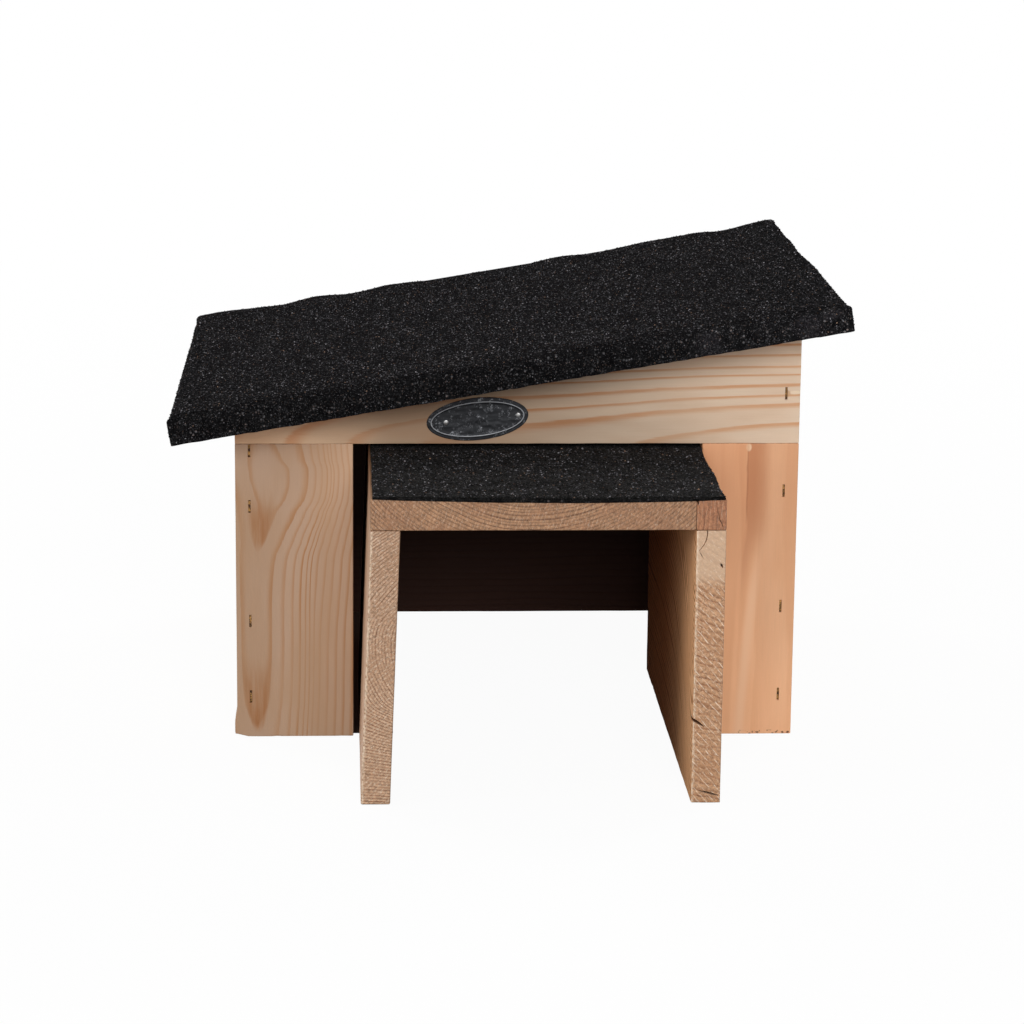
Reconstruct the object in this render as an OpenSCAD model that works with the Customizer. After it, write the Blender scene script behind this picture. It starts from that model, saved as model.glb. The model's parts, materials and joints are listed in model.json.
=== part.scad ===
// Hedgehog house: a bottomless box of pine boards under a lean-to lid covered
// with roofing felt, and a loose entrance tunnel that stands in the doorway.
// The doorway faces -Y, the roof rises towards +X and the ground is Z = 0.

/* [House] */
// Width over the outer faces of the side walls
house_width = 360; // [330:1:420]
// Depth from the front boards' faces to the back boards' faces
house_depth = 334; // [324:1:400]
// Thickness of the wall boards
wall_board = 18; // [15:0.5:20]
// Height of the stiles and of the lower boards behind them
stile_height = 193.5; // [180:0.5:220]
// Height of the header at its low end
header_low_end = 15; // [14:0.5:30]
// Width of the stile on the low side of the doorway
left_stile_width = 75; // [60:1:85]
// Width of the stile on the high side of the doorway
right_stile_width = 62; // [50:1:75]

/* [Roof] */
// Angle at which the roof rises from left to right
roof_slope = 9.7; // [6:0.1:14]
// Thickness of the deck boards
deck_board = 15; // [14:0.5:20]
// Overhang beyond the front boards
front_overhang = 50; // [30:1:70]
// Overhang beyond the low wall, along the slope
low_overhang = 36; // [20:1:50]
// Overhang beyond the high wall, along the slope
high_overhang = 27; // [15:1:45]
// Thickness of the roofing felt
felt = 2.4; // [1.5:0.1:3]
// Clearance between the shut lid and the walls' tops
lid_gap = 0.2; // [0.1:0.1:0.5]
// Radius at which the felt folds over the deck's edges
felt_fold = 5; // [3.5:0.5:6]
// Spacing of the felt nails along the rear edge
felt_nail_pitch = 48; // [40:1:60]
// Width of the battens under the deck
batten_width = 30; // [20:1:40]
// Thickness of the battens
batten_thickness = 15; // [10:0.5:15]
// Distance from a side wall to the nearest batten, along the slope
batten_inset = 44; // [30:1:50]
// Distance from a batten's ends to the front and back walls
batten_end_gap = 4; // [2:0.5:15]

/* [Tunnel] */
// Length of the tunnel
tunnel_length = 300; // [250:1:320]
// How far the tunnel stands out of the house
tunnel_reach = 144; // [100:1:180]
// Thickness of the tunnel boards
tunnel_board = 18; // [15:0.5:20]
// Gap between the tunnel and the left stile
tunnel_gap_left = 9.7; // [8:0.1:15]
// Gap between the tunnel and the right stile
tunnel_gap_right = 0.3; // [0.2:0.1:4]
// Gap between the tunnel's felt and the header
tunnel_gap_top = 2.6; // [1:0.2:6]
// Width of the strip that widens the top board
top_strip_width = 18; // [14:0.5:20]
// Angle at which the left wall leans out towards its foot
tunnel_lean = 2; // [0:0.5:2]

/* [Hinges] */
// Distance between the middles of the two hinges
hinge_spacing = 192; // [150:1:220]
// Length of a hinge
hinge_length = 36; // [30:1:40]
// Height of a leaf, from the pin's axis to its free edge
leaf_height = 14; // [12:0.5:14]
// Thickness of a leaf
leaf_thickness = 1.2; // [0.8:0.1:1.5]
// Outer diameter of the knuckles
knuckle_diameter = 5; // [4.4:0.1:6]
// Diameter of the hinge pin
hinge_pin_diameter = 2.5; // [2:0.1:3]
// Knuckles on a hinge, the fixed leaf holding the end ones
knuckle_count = 5; // [3:2:5]

/* [Fasteners] */
// Length of a staple's crown, outside
staple_crown = 8; // [7:0.5:12]
// Length of a staple's legs
staple_leg = 28; // [24:1:35]
// Width of the staple wire across the crown
staple_wire_width = 1.3; // [1:0.1:1.6]
// Thickness of the staple wire
staple_wire = 1; // [0.8:0.1:1.2]
// Depth at which the crowns sit under the boards' faces
staple_sink = 0.6; // [0.2:0.1:1.5]
// Diameter of a felt nail's head
felt_nail_head = 8; // [6:0.5:9]
// Length of a felt nail
felt_nail_length = 14; // [11:1:20]
// Length of the nails that hold the deck boards to the battens
batten_nail_length = 24; // [20:1:24]
// Length of the nails that hold the tunnel's top to its walls
tunnel_nail_length = 40; // [34:1:50]
// Length of a hinge screw
screw_length = 14; // [10:0.5:15]
// Diameter of a hinge screw's head
screw_head = 4.6; // [4:0.1:5.2]

/* [Badge] */
// Length of the oval plate
badge_length = 65; // [50:1:70]
// Height of the oval plate
badge_height = 27.5; // [20:0.5:28]
// Thickness of the plate
badge_thickness = 0.9; // [0.6:0.1:1.5]
// Height of the raised rim above the plate
badge_rim = 0.5; // [0.3:0.1:0.8]
// Angle at which the plate tilts up to the right
badge_tilt = 5.9; // [0:0.1:8]
// Distance from the middle of the front to the middle of the plate
badge_offset = -26; // [-40:1:20]

/* [Hidden] */

$fn = 48;

// Clearance round a nail, a screw or a staple in its hole
hole_fit = 0.05;
// Clearance of the hinge pin in the knuckles
pin_fit = 0.05;
// Amount by which a cutting shape runs past the face it cuts
past = 1;

// The box
half_width = house_width / 2;
inner_half_width = half_width - wall_board;
back_inner = house_depth - wall_board;
low_eave = stile_height + header_low_end;
door_left = left_stile_width - half_width;
door_right = half_width - right_stile_width;

// Height of the lid's underside at a distance x from the middle of the house
function eave(x) = low_eave + (x + half_width) * tan(roof_slope);

// Height of the walls' sloping tops, just under the lid
function wall_top(x) = eave(x) - lid_gap / cos(roof_slope);

// The roof, in a frame that lies in its underside: x runs up the slope from
// the middle of the house, y to the back and z away from the walls
roof_low = -half_width / cos(roof_slope) - low_overhang;
roof_high = half_width / cos(roof_slope) + high_overhang;
roof_front = -front_overhang;
roof_rear = house_depth;
roof_top = deck_board + felt;
deck_low = roof_low + felt;
deck_high = roof_high - felt;
deck_front = roof_front + felt;
deck_rear = roof_rear - felt;
deck_board_depth = (deck_rear - deck_front) / 3;
batten_front = wall_board + batten_end_gap;
batten_rear = back_inner - batten_end_gap;
batten_low = -inner_half_width / cos(roof_slope) + batten_inset;
batten_high = inner_half_width / cos(roof_slope) - batten_inset - batten_width;

// The tunnel
tunnel_left = door_left + tunnel_gap_left;
tunnel_right = door_right - tunnel_gap_right;
tunnel_front = -tunnel_reach;
tunnel_rear = tunnel_length - tunnel_reach;
tunnel_felt_top = stile_height - tunnel_gap_top;
tunnel_top = tunnel_felt_top - felt;
tunnel_wall_height = tunnel_top - tunnel_board;
tunnel_strip_left = tunnel_right - top_strip_width;
tunnel_foot_shift = tunnel_wall_height * tan(tunnel_lean);

// The hinges: the pins lie along the slope, level with the lid's underside
hinge_wall_gap = 0.3;
knuckle_radius = knuckle_diameter / 2;
pin_y = house_depth + hinge_wall_gap + knuckle_radius;
knuckle_gap = 0.3;
knuckle_length = (hinge_length - (knuckle_count - 1) * knuckle_gap) / knuckle_count;
screw_rows = [-1, 1];
screw_spread = 0.36 * hinge_length;
screw_level = 0.62 * leaf_height;
screw_radius = 1.2;
screw_head_depth = 1.1;
screw_point = 3;
pin_head_radius = 1.9;
pin_head_bevel = 0.5;
pin_head_height = 0.6;
pin_head_gap = 0.2;
point_radius = 0.2;

// Levels of the staples at the low and the high corners, front and back
staple_foot = 27;
staple_under_joint = 4.5;
staple_over_joint = 32.5;
back_levels_low = [staple_foot, 0.4 * stile_height, 0.79 * stile_height];
staple_levels_low = concat(back_levels_low, stile_height - staple_under_joint);
staple_levels_high = [
  staple_foot,
  0.445 * stile_height,
  0.84 * stile_height,
  stile_height + staple_over_joint
];

// Nails
felt_nail_radius = 1.2;
felt_nail_head_height = 0.9;
felt_nails_per_board = 3;
brad_radius = 0.9;
brad_head_radius = 1.7;
brad_head_height = 1;
tunnel_nail_count = 3;
tunnel_nail_inset = 40;
badge_nail_radius = 0.7;
badge_nail_head_radius = 1.5;
badge_nail_head_height = 0.6;
badge_nail_length = 12;
badge_nail_places = [-0.31 * badge_length, 0.4 * badge_length];
badge_rim_inset = 2.2;
badge_rim_width = 1.3;
badge_height_above_joint = 16.2;
badge_sides = 64;

// The row's origin is on the ground, below the middle of the whole object
low_fold = [roof_low + felt_fold, roof_top - felt_fold];
low_edge_x = low_fold[0] * cos(roof_slope) - low_fold[1] * sin(roof_slope) - felt_fold;
high_edge_x = roof_high * cos(roof_slope);
front_edge_y = min(tunnel_front, roof_front);
rear_edge_y = max(pin_y + knuckle_radius, roof_rear);
origin_shift = [-(low_edge_x + high_edge_x) / 2, -(front_edge_y + rear_edge_y) / 2, 0];

pine = "burlywood";
pine_end = "tan";
felt_black = "#26262a";
steel = "#9a9da0";
pewter = "#6f7276";
rust = "#6b4a35";

// Puts a piece into the row's frame
module placed() {
  translate(origin_shift)
    children();
}

// Lays a piece into the roof's own frame
module on_slope() {
  translate([0, 0, eave(0)])
    rotate([0, -roof_slope, 0])
      children();
}

// A front view outline, made solid from y0 back to y1
module along_y(y0, y1) {
  translate([0, y1, 0])
    rotate([90, 0, 0])
      linear_extrude(y1 - y0)
        children();
}

// A box between two corners
module block(low, high) {
  translate(low)
    cube(high - low);
}

// Outline of a wall from x0 to x1, from level z0 up to the roof
module wall_outline(x0, x1, z0) {
  polygon([[x0, z0], [x1, z0], [x1, wall_top(x1)], [x0, wall_top(x0)]]);
}

// A nail with its head at z = 0 and its point down, grown by a fit
module nail(radius, length, head_radius, head_height, fit = 0) {
  point = 2 * radius;
  translate([0, 0, -head_height - fit])
    cylinder(h = head_height + fit, r = head_radius + fit);
  translate([0, 0, point - length - fit])
    cylinder(h = length - point - head_height / 2 + fit, r = radius + fit);
  translate([0, 0, -length - fit])
    cylinder(h = point, r1 = point_radius, r2 = radius + fit);
}

// A countersunk screw with its head flush at z = 0, grown by a fit
module screw(fit = 0) {
  translate([0, 0, -screw_head_depth])
    cylinder(h = screw_head_depth, r1 = screw_radius + fit, r2 = screw_head / 2 + fit);
  translate([0, 0, screw_point - screw_length])
    cylinder(h = screw_length - screw_point - screw_head_depth / 2, r = screw_radius + fit);
  translate([0, 0, -screw_length - fit])
    cylinder(h = screw_point + fit, r1 = point_radius, r2 = screw_radius + fit);
}

// A staple driven along +Y, its crown standing up with its middle at the origin
module staple(fit = 0, sunk = 0) {
  half_crown = staple_crown / 2 + fit;
  half_wire = staple_wire_width / 2 + fit;
  block([-half_wire, staple_sink - sunk, -half_crown],
        [half_wire, staple_sink + staple_wire + fit, half_crown]);
  for (side = [-1, 1]) {
    leg = side * (staple_crown - staple_wire) / 2;
    block([-half_wire, staple_sink, leg - staple_wire / 2 - fit],
          [half_wire, staple_sink + staple_leg + fit, leg + staple_wire / 2 + fit]);
  }
}

// All staples of the front, or the pockets that they sit in
module front_staple_set(fit = 0, sunk = 0) {
  for (z = staple_levels_low)
    translate([wall_board / 2 - half_width, 0, z])
      staple(fit, sunk);
  for (z = staple_levels_high)
    translate([half_width - wall_board / 2, 0, z])
      staple(fit, sunk);
}

// All staples of the back, or the pockets that they sit in
module back_staple_set(fit = 0, sunk = 0) {
  for (z = back_levels_low)
    translate([wall_board / 2 - half_width, house_depth, z])
      mirror([0, 1, 0])
        staple(fit, sunk);
  for (z = staple_levels_high)
    translate([half_width - wall_board / 2, house_depth, z])
      mirror([0, 1, 0])
        staple(fit, sunk);
}

module front_staple_pockets() {
  front_staple_set(hole_fit, staple_sink + past);
}

module back_staple_pockets() {
  back_staple_set(hole_fit, staple_sink + past);
}

// Places of the badge, level with the front face
module at_badge() {
  translate([badge_offset, 0, stile_height + badge_height_above_joint])
    rotate([0, -badge_tilt, 0])
      rotate([90, 0, 0])
        children();
}

// An oval of the given half axes
module oval(half_length, half_height) {
  polygon([for (i = [0 : badge_sides - 1])
    [half_length * cos(360 * i / badge_sides), half_height * sin(360 * i / badge_sides)]]);
}

module badge_nail_set(fit = 0) {
  at_badge()
    for (x = badge_nail_places)
      translate([x, 0, badge_thickness + badge_nail_head_height])
        nail(badge_nail_radius, badge_nail_length, badge_nail_head_radius,
             badge_nail_head_height, fit);
}

// Each hinge screw of one leaf: side is 1 for the roof's leaf, -1 for the wall's
module leaf_screws(hinge_x, side, fit = 0) {
  for (row = screw_rows)
    translate([hinge_x + row * screw_spread, house_depth + leaf_thickness, side * screw_level])
      rotate([-90, 0, 0])
        screw(fit);
}

module screw_set(side, fit = 0) {
  on_slope()
    for (hinge = [-1, 1])
      leaf_screws(hinge * hinge_spacing / 2, side, fit);
}

// Starts of the knuckles whose number has the given remainder by two
function knuckle_starts(odd) = [for (i = [odd : 2 : knuckle_count - 1])
  i * (knuckle_length + knuckle_gap) - hinge_length / 2];

// A butt hinge's leaf, lying on the plane y = house_depth
module hinge_leaf(hinge_x, side) {
  own = side < 0 ? 0 : 1;
  z_free = side * leaf_height;
  z_near = side * (knuckle_radius + hinge_wall_gap);
  on_slope()
    translate([hinge_x, 0, 0])
      difference() {
        union() {
          block([-hinge_length / 2, house_depth, min(z_free, z_near)],
                [hinge_length / 2, house_depth + leaf_thickness, max(z_free, z_near)]);
          for (start = knuckle_starts(own)) {
            block([start, house_depth, min(0, z_near)],
                  [start + knuckle_length, house_depth + leaf_thickness, max(0, z_near)]);
            translate([start, pin_y, 0])
              rotate([0, 90, 0])
                cylinder(h = knuckle_length, r = knuckle_radius);
          }
        }
        translate([-hinge_length, pin_y, 0])
          rotate([0, 90, 0])
            cylinder(h = 2 * hinge_length, r = hinge_pin_diameter / 2 + pin_fit);
        leaf_screws(0, side, hole_fit);
      }
}

module hinge_pin(hinge_x) {
  pin_length = hinge_length + 2 * pin_head_gap;
  color(steel)
    on_slope()
      translate([hinge_x, pin_y, 0])
        rotate([0, 90, 0]) {
          translate([0, 0, -pin_length / 2])
            cylinder(h = pin_length, r = hinge_pin_diameter / 2);
          for (end = [0, 1])
            mirror([0, 0, end])
              translate([0, 0, pin_length / 2])
                cylinder(h = pin_head_height, r1 = pin_head_radius, r2 = pin_head_radius - pin_head_bevel);
        }
}

// Felt nails along the rear edge, left out where a hinge leaf lies
module rear_felt_nails(fit = 0) {
  count = floor((roof_high - roof_low) / 2 / felt_nail_pitch);
  keep_off = hinge_length / 2 + felt_nail_head / 2 + leaf_thickness;
  middle = (roof_low + roof_high) / 2;
  for (i = [-count : count - 1]) {
    x = middle + (2 * i + 1) * felt_nail_pitch / 2;
    if (abs(abs(x) - hinge_spacing / 2) > keep_off)
      translate([x, roof_rear, deck_board / 2])
        rotate([-90, 0, 0])
          nail(felt_nail_radius, felt_nail_length, felt_nail_head / 2, felt_nail_head_height, fit);
  }
}

// Felt nails across one end of the deck, a few to each deck board
module end_felt_nails(end_x, turn, fit = 0) {
  pitch = deck_board_depth / felt_nails_per_board;
  for (i = [0 : 3 * felt_nails_per_board - 1])
    translate([end_x, deck_front + (i + 0.5) * pitch, deck_board / 2])
      rotate([0, turn, 0])
        nail(felt_nail_radius, felt_nail_length, felt_nail_head / 2, felt_nail_head_height, fit);
}

module felt_nail_set(fit = 0) {
  on_slope() {
    rear_felt_nails(fit);
    end_felt_nails(roof_low, -90, fit);
    end_felt_nails(roof_high, 90, fit);
  }
}

// Nails from the deck boards into the battens, each in the middle of a crossing
module batten_nail_set(fit = 0) {
  on_slope()
    for (x = [batten_low, batten_high])
      for (i = [0 : 2]) {
        crossing_front = max(deck_front + i * deck_board_depth, batten_front);
        crossing_rear = min(deck_front + (i + 1) * deck_board_depth, batten_rear);
        translate([x + batten_width / 2, (crossing_front + crossing_rear) / 2, deck_board])
          nail(brad_radius, batten_nail_length, brad_head_radius, brad_head_height, fit);
      }
}

// Nails from the tunnel's top into its walls
module tunnel_nail_set(fit = 0) {
  pitch = (tunnel_length - 2 * tunnel_nail_inset) / (tunnel_nail_count - 1);
  for (x = [tunnel_left + tunnel_board / 2, tunnel_right - tunnel_board / 2])
    for (i = [0 : tunnel_nail_count - 1])
      translate([x, tunnel_front + tunnel_nail_inset + i * pitch, tunnel_top])
        nail(brad_radius, tunnel_nail_length, brad_head_radius, brad_head_height, fit);
}

module left_stile() {
  color(pine)
    difference() {
      block([-half_width, 0, 0], [door_left, wall_board, stile_height]);
      front_staple_pockets();
    }
}

module right_stile() {
  color(pine)
    difference() {
      block([door_right, 0, 0], [half_width, wall_board, stile_height]);
      front_staple_pockets();
    }
}

module front_header() {
  color(pine)
    difference() {
      along_y(0, wall_board)
        wall_outline(-half_width, half_width, stile_height);
      front_staple_pockets();
      badge_nail_set(hole_fit);
    }
}

module left_side_wall() {
  color(pine)
    difference() {
      along_y(wall_board, back_inner)
        wall_outline(-half_width, -inner_half_width, 0);
      front_staple_pockets();
      back_staple_pockets();
    }
}

module right_side_lower() {
  color(pine)
    difference() {
      block([inner_half_width, wall_board, 0], [half_width, back_inner, stile_height]);
      front_staple_pockets();
      back_staple_pockets();
    }
}

module right_side_upper() {
  color(pine)
    difference() {
      along_y(wall_board, back_inner)
        wall_outline(inner_half_width, half_width, stile_height);
      front_staple_pockets();
      back_staple_pockets();
    }
}

module back_lower() {
  color(pine)
    difference() {
      block([-half_width, back_inner, 0], [half_width, house_depth, stile_height]);
      back_staple_pockets();
    }
}

module back_upper() {
  color(pine)
    difference() {
      along_y(back_inner, house_depth)
        wall_outline(-half_width, half_width, stile_height);
      back_staple_pockets();
      screw_set(-1, hole_fit);
    }
}

module front_staples() {
  color(rust)
    front_staple_set();
}

module back_staples() {
  color(rust)
    back_staple_set();
}

module badge_plate() {
  outer = [badge_length / 2, badge_height / 2];
  rim_outer = [outer[0] - badge_rim_inset, outer[1] - badge_rim_inset];
  rim_inner = [rim_outer[0] - badge_rim_width, rim_outer[1] - badge_rim_width];
  color(pewter)
    difference() {
      at_badge() {
        linear_extrude(badge_thickness)
          oval(outer[0], outer[1]);
        linear_extrude(badge_thickness + badge_rim)
          difference() {
            oval(rim_outer[0], rim_outer[1]);
            oval(rim_inner[0], rim_inner[1]);
          }
      }
      badge_nail_set(hole_fit);
    }
}

module badge_nails() {
  color(steel)
    badge_nail_set();
}

module hinge_fixed_leaf(side_x) {
  color(steel)
    hinge_leaf(side_x * hinge_spacing / 2, -1);
}

module hinge_moving_leaf(side_x) {
  color(steel)
    hinge_leaf(side_x * hinge_spacing / 2, 1);
}

module hinge_lower_screws() {
  color(steel)
    screw_set(-1);
}

module hinge_upper_screws() {
  color(steel)
    screw_set(1);
}

// One of the deck boards, counted from the front
module roof_board(number) {
  color(pine)
    difference() {
      on_slope()
        block([deck_low, deck_front + number * deck_board_depth, 0],
              [deck_high, deck_front + (number + 1) * deck_board_depth, deck_board]);
      felt_nail_set(hole_fit);
      batten_nail_set(hole_fit);
      screw_set(1, hole_fit);
    }
}

module batten(x) {
  color(pine_end)
    difference() {
      on_slope()
        block([x, batten_front, -batten_thickness],
              [x + batten_width, batten_rear, 0]);
      batten_nail_set(hole_fit);
    }
}

module batten_nails() {
  color(steel)
    batten_nail_set();
}

// Outline of the felt over one pair of edges: a slab with two rounded corners
module felt_outline(low, high) {
  translate([low, 0])
    square([high - low, roof_top - felt_fold]);
  translate([low + felt_fold, 0])
    square([high - low - 2 * felt_fold, roof_top]);
  for (x = [low + felt_fold, high - felt_fold])
    translate([x, roof_top - felt_fold])
      circle(r = felt_fold);
}

module roof_felt() {
  color(felt_black)
    difference() {
      on_slope()
        difference() {
          intersection() {
            along_y(roof_front, roof_rear)
              felt_outline(roof_low, roof_high);
            translate([roof_low, 0, 0])
              rotate([90, 0, 90])
                linear_extrude(roof_high - roof_low)
                  felt_outline(roof_front, roof_rear);
          }
          block([deck_low, deck_front, -past], [deck_high, deck_rear, deck_board]);
        }
      felt_nail_set(hole_fit);
      screw_set(1, hole_fit);
    }
}

module felt_nails() {
  color(steel)
    felt_nail_set();
}

module tunnel_left_wall() {
  left = tunnel_left;
  right = tunnel_left + tunnel_board;
  foot = tunnel_foot_shift;
  color(pine_end)
    difference() {
      along_y(tunnel_front, tunnel_rear)
        polygon([[left - foot, 0], [right - foot, 0],
                 [right, tunnel_wall_height], [left, tunnel_wall_height]]);
      tunnel_nail_set(hole_fit);
    }
}

module tunnel_right_wall() {
  color(pine_end)
    difference() {
      block([tunnel_right - tunnel_board, tunnel_front, 0],
            [tunnel_right, tunnel_rear, tunnel_wall_height]);
      tunnel_nail_set(hole_fit);
    }
}

module tunnel_top_board() {
  color(pine_end)
    difference() {
      block([tunnel_left, tunnel_front, tunnel_wall_height],
            [tunnel_strip_left, tunnel_rear, tunnel_top]);
      tunnel_nail_set(hole_fit);
    }
}

module tunnel_top_strip() {
  color(pine_end)
    difference() {
      block([tunnel_strip_left, tunnel_front, tunnel_wall_height],
            [tunnel_right, tunnel_rear, tunnel_top]);
      tunnel_nail_set(hole_fit);
    }
}

module tunnel_felt() {
  color(felt_black)
    block([tunnel_left, tunnel_front, tunnel_top],
          [tunnel_right, tunnel_rear, tunnel_felt_top]);
}

module tunnel_nails() {
  color(steel)
    tunnel_nail_set();
}

placed() left_stile();
placed() right_stile();
placed() front_header();
placed() left_side_wall();
placed() right_side_lower();
placed() right_side_upper();
placed() back_lower();
placed() back_upper();
placed() front_staples();
placed() back_staples();
placed() badge_plate();
placed() badge_nails();
placed() hinge_fixed_leaf(-1);  // left_hinge_fixed_leaf
placed() hinge_fixed_leaf(1);  // right_hinge_fixed_leaf
placed() hinge_pin(-hinge_spacing / 2);  // left_hinge_pin
placed() hinge_pin(hinge_spacing / 2);  // right_hinge_pin
placed() hinge_lower_screws();
placed() roof_board(0);  // roof_front_board
placed() roof_board(1);  // roof_middle_board
placed() roof_board(2);  // roof_rear_board
placed() batten(batten_low);  // left_batten
placed() batten(batten_high);  // right_batten
placed() batten_nails();
placed() roof_felt();
placed() felt_nails();
placed() hinge_moving_leaf(-1);  // left_hinge_moving_leaf
placed() hinge_moving_leaf(1);  // right_hinge_moving_leaf
placed() hinge_upper_screws();
placed() tunnel_left_wall();
placed() tunnel_right_wall();
placed() tunnel_top_board();
placed() tunnel_top_strip();
placed() tunnel_felt();
placed() tunnel_nails();
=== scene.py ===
import json
import math
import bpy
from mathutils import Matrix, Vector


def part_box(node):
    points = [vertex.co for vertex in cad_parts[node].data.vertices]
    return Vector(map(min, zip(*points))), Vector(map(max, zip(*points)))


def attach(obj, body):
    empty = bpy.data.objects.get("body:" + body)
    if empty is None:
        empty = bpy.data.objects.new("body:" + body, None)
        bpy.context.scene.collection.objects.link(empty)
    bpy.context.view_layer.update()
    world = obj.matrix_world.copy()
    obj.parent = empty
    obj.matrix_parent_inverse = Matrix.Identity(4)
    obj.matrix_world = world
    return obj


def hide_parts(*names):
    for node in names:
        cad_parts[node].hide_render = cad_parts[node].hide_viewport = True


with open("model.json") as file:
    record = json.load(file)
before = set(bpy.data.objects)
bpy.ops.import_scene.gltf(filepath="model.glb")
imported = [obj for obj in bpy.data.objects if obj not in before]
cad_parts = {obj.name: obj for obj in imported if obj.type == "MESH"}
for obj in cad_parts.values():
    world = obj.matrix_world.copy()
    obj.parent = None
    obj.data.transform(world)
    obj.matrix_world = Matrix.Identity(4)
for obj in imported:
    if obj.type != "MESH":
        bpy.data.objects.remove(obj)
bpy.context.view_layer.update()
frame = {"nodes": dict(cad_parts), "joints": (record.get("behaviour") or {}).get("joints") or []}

from types import SimpleNamespace

import bmesh
import bpy
import numpy as np
from mathutils import Matrix, Vector

# Hedgehog house: planed pine walls, a felted lean-to lid and a loose tunnel of rough pine.
# Sizes are in millimetres in two frames: the house's, with its origin on the ground below
# the middle of the front boards, and the lid's, which lies in the lid's underside.

MM = 0.001
X, Y, Z = (1, 0, 0), (0, 1, 0), (0, 0, 1)
LEFTWARD, FORWARD = (-1, 0, 0), (0, -1, 0)
# Points inside the house, the lid and the tunnel, in their own frames: fasteners point at them
HOUSE_MIDDLE, LID_MIDDLE, TUNNEL_MIDDLE = (0.0, 170.0, 0.0), (-4.5, 142.0, 0.0), (11.0, 6.0, 0.0)

hinge_joint = next(j for j in frame["joints"] if j["name"] == "roof_hinge")
hinge_point = Vector(hinge_joint["pos_m"])
up_slope = -Vector(hinge_joint["axis"]).normalized()
slope = math.atan2(up_slope.z, up_slope.x)
front_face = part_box("left_stile")[0].y

HOUSE = Matrix.Translation((hinge_point.x, front_face, 0)) @ Matrix.Scale(MM, 4)
LID = (
    Matrix.Translation((hinge_point.x, front_face, hinge_point.z))
    @ Matrix.Rotation(-slope, 4, "Y")
    @ Matrix.Scale(MM, 4)
)


def srgb(red, green, blue):
    """A colour as it is seen, 0 to 255, turned into the linear one that nodes want"""
    parts = []
    for value in (red, green, blue):
        share = value / 255
        parts.append(share / 12.92 if share <= 0.04045 else ((share + 0.055) / 1.055) ** 2.4)
    return (*parts, 1.0)


def drift(points, size, seed):
    """Smooth random numbers from -1 to 1 over space, with swells about one size across"""
    cell = np.asarray(points, float) / size + 17.3 * seed
    base = np.floor(cell).astype(np.int64)
    part = cell - base
    part = part * part * (3 - 2 * part)
    total = np.zeros(len(cell))
    for corner in np.ndindex(2, 2, 2):
        key = (base + np.array(corner)) @ np.array([73856093, 19349663, 83492791])
        key = ((key ^ (key >> 13)) * 1274126177) & 0xFFFFFFFF
        key = (key ^ (key >> 15)) & 0xFFFF
        weight = np.prod(np.where(corner, part, 1 - part), axis=1)
        total += weight * (key / 32767.5 - 1)
    return total


def smooth_step(low, high, value):
    """0 below low, 1 above high and a soft rise between"""
    share = np.clip((value - low) / (high - low), 0, 1)
    return share * share * (3 - 2 * share)


def ticks(low, high, edge, step):
    """Places along one side of a board: close together at its edges, even in between"""
    near = [0, 0.3 * edge, 0.62 * edge, edge, 1.7 * edge]
    inner = high - low - 2 * near[-1]
    count = max(1, round(inner / step))
    middle = [near[-1] + inner * i / count for i in range(1, count)]
    return [low + t for t in near + middle] + [high - t for t in reversed(near)]


def skin(xs, ys, zs, open_below=False):
    """Points and quads of a box's sides over the given places, facing outwards"""
    index = {}
    quads = []

    def add(*corners):
        quads.append(tuple(index.setdefault(corner, len(index)) for corner in corners))

    nx, ny, nz = len(xs) - 1, len(ys) - 1, len(zs) - 1
    for i in range(nx):
        for j in range(ny):
            if not open_below:
                add((i, j, 0), (i, j + 1, 0), (i + 1, j + 1, 0), (i + 1, j, 0))
            add((i, j, nz), (i + 1, j, nz), (i + 1, j + 1, nz), (i, j + 1, nz))
    for i in range(nx):
        for k in range(nz):
            add((i, 0, k), (i + 1, 0, k), (i + 1, 0, k + 1), (i, 0, k + 1))
            add((i, ny, k), (i, ny, k + 1), (i + 1, ny, k + 1), (i + 1, ny, k))
    for j in range(ny):
        for k in range(nz):
            add((0, j, k), (0, j, k + 1), (0, j + 1, k + 1), (0, j + 1, k))
            add((nx, j, k), (nx, j + 1, k), (nx, j + 1, k + 1), (nx, j, k + 1))
    return np.array([(xs[i], ys[j], zs[k]) for i, j, k in index], float), quads


def eased(points, low, high, radius):
    """Points of a box's skin with its edges rounded, each by its own radius, and their normals"""
    low, high = np.asarray(low, float), np.asarray(high, float)
    inner = np.clip(points, low + radius[:, None], high - radius[:, None])
    out = points - inner
    out /= np.maximum(np.linalg.norm(out, axis=1), 1e-9)[:, None]
    return inner + out * radius[:, None], out


def in_scene(name, data):
    """A new object in the scene"""
    made = bpy.data.objects.new(name, data)
    bpy.context.scene.collection.objects.link(made)
    return made


def smooth(piece, sharp_degrees=38):
    """Smooth shading that stops at sharp edges"""
    piece.data.polygons.foreach_set("use_smooth", [True] * len(piece.data.polygons))
    piece.data.set_sharp_from_angle(angle=math.radians(sharp_degrees))


def solid(name, points, quads, place, sharp_degrees=38):
    """A mesh object from points in one of the two frames, its place in its mesh"""
    turn = np.array(place)
    world = np.asarray(points, float) @ turn[:3, :3].T + turn[:3, 3]
    mesh = bpy.data.meshes.new(name)
    mesh.from_pydata(world.tolist(), [], [tuple(q) for q in quads])
    mesh.validate()
    piece = in_scene(name, mesh)
    smooth(piece, sharp_degrees)
    return piece


def settled(piece):
    """Works the piece's modifiers into its mesh"""
    bpy.context.view_layer.update()
    depsgraph = bpy.context.evaluated_depsgraph_get()
    mesh = bpy.data.meshes.new_from_object(piece.evaluated_get(depsgraph))
    piece.modifiers.clear()
    old = piece.data
    piece.data = mesh
    bpy.data.meshes.remove(old)
    mesh.name = piece.name


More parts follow.
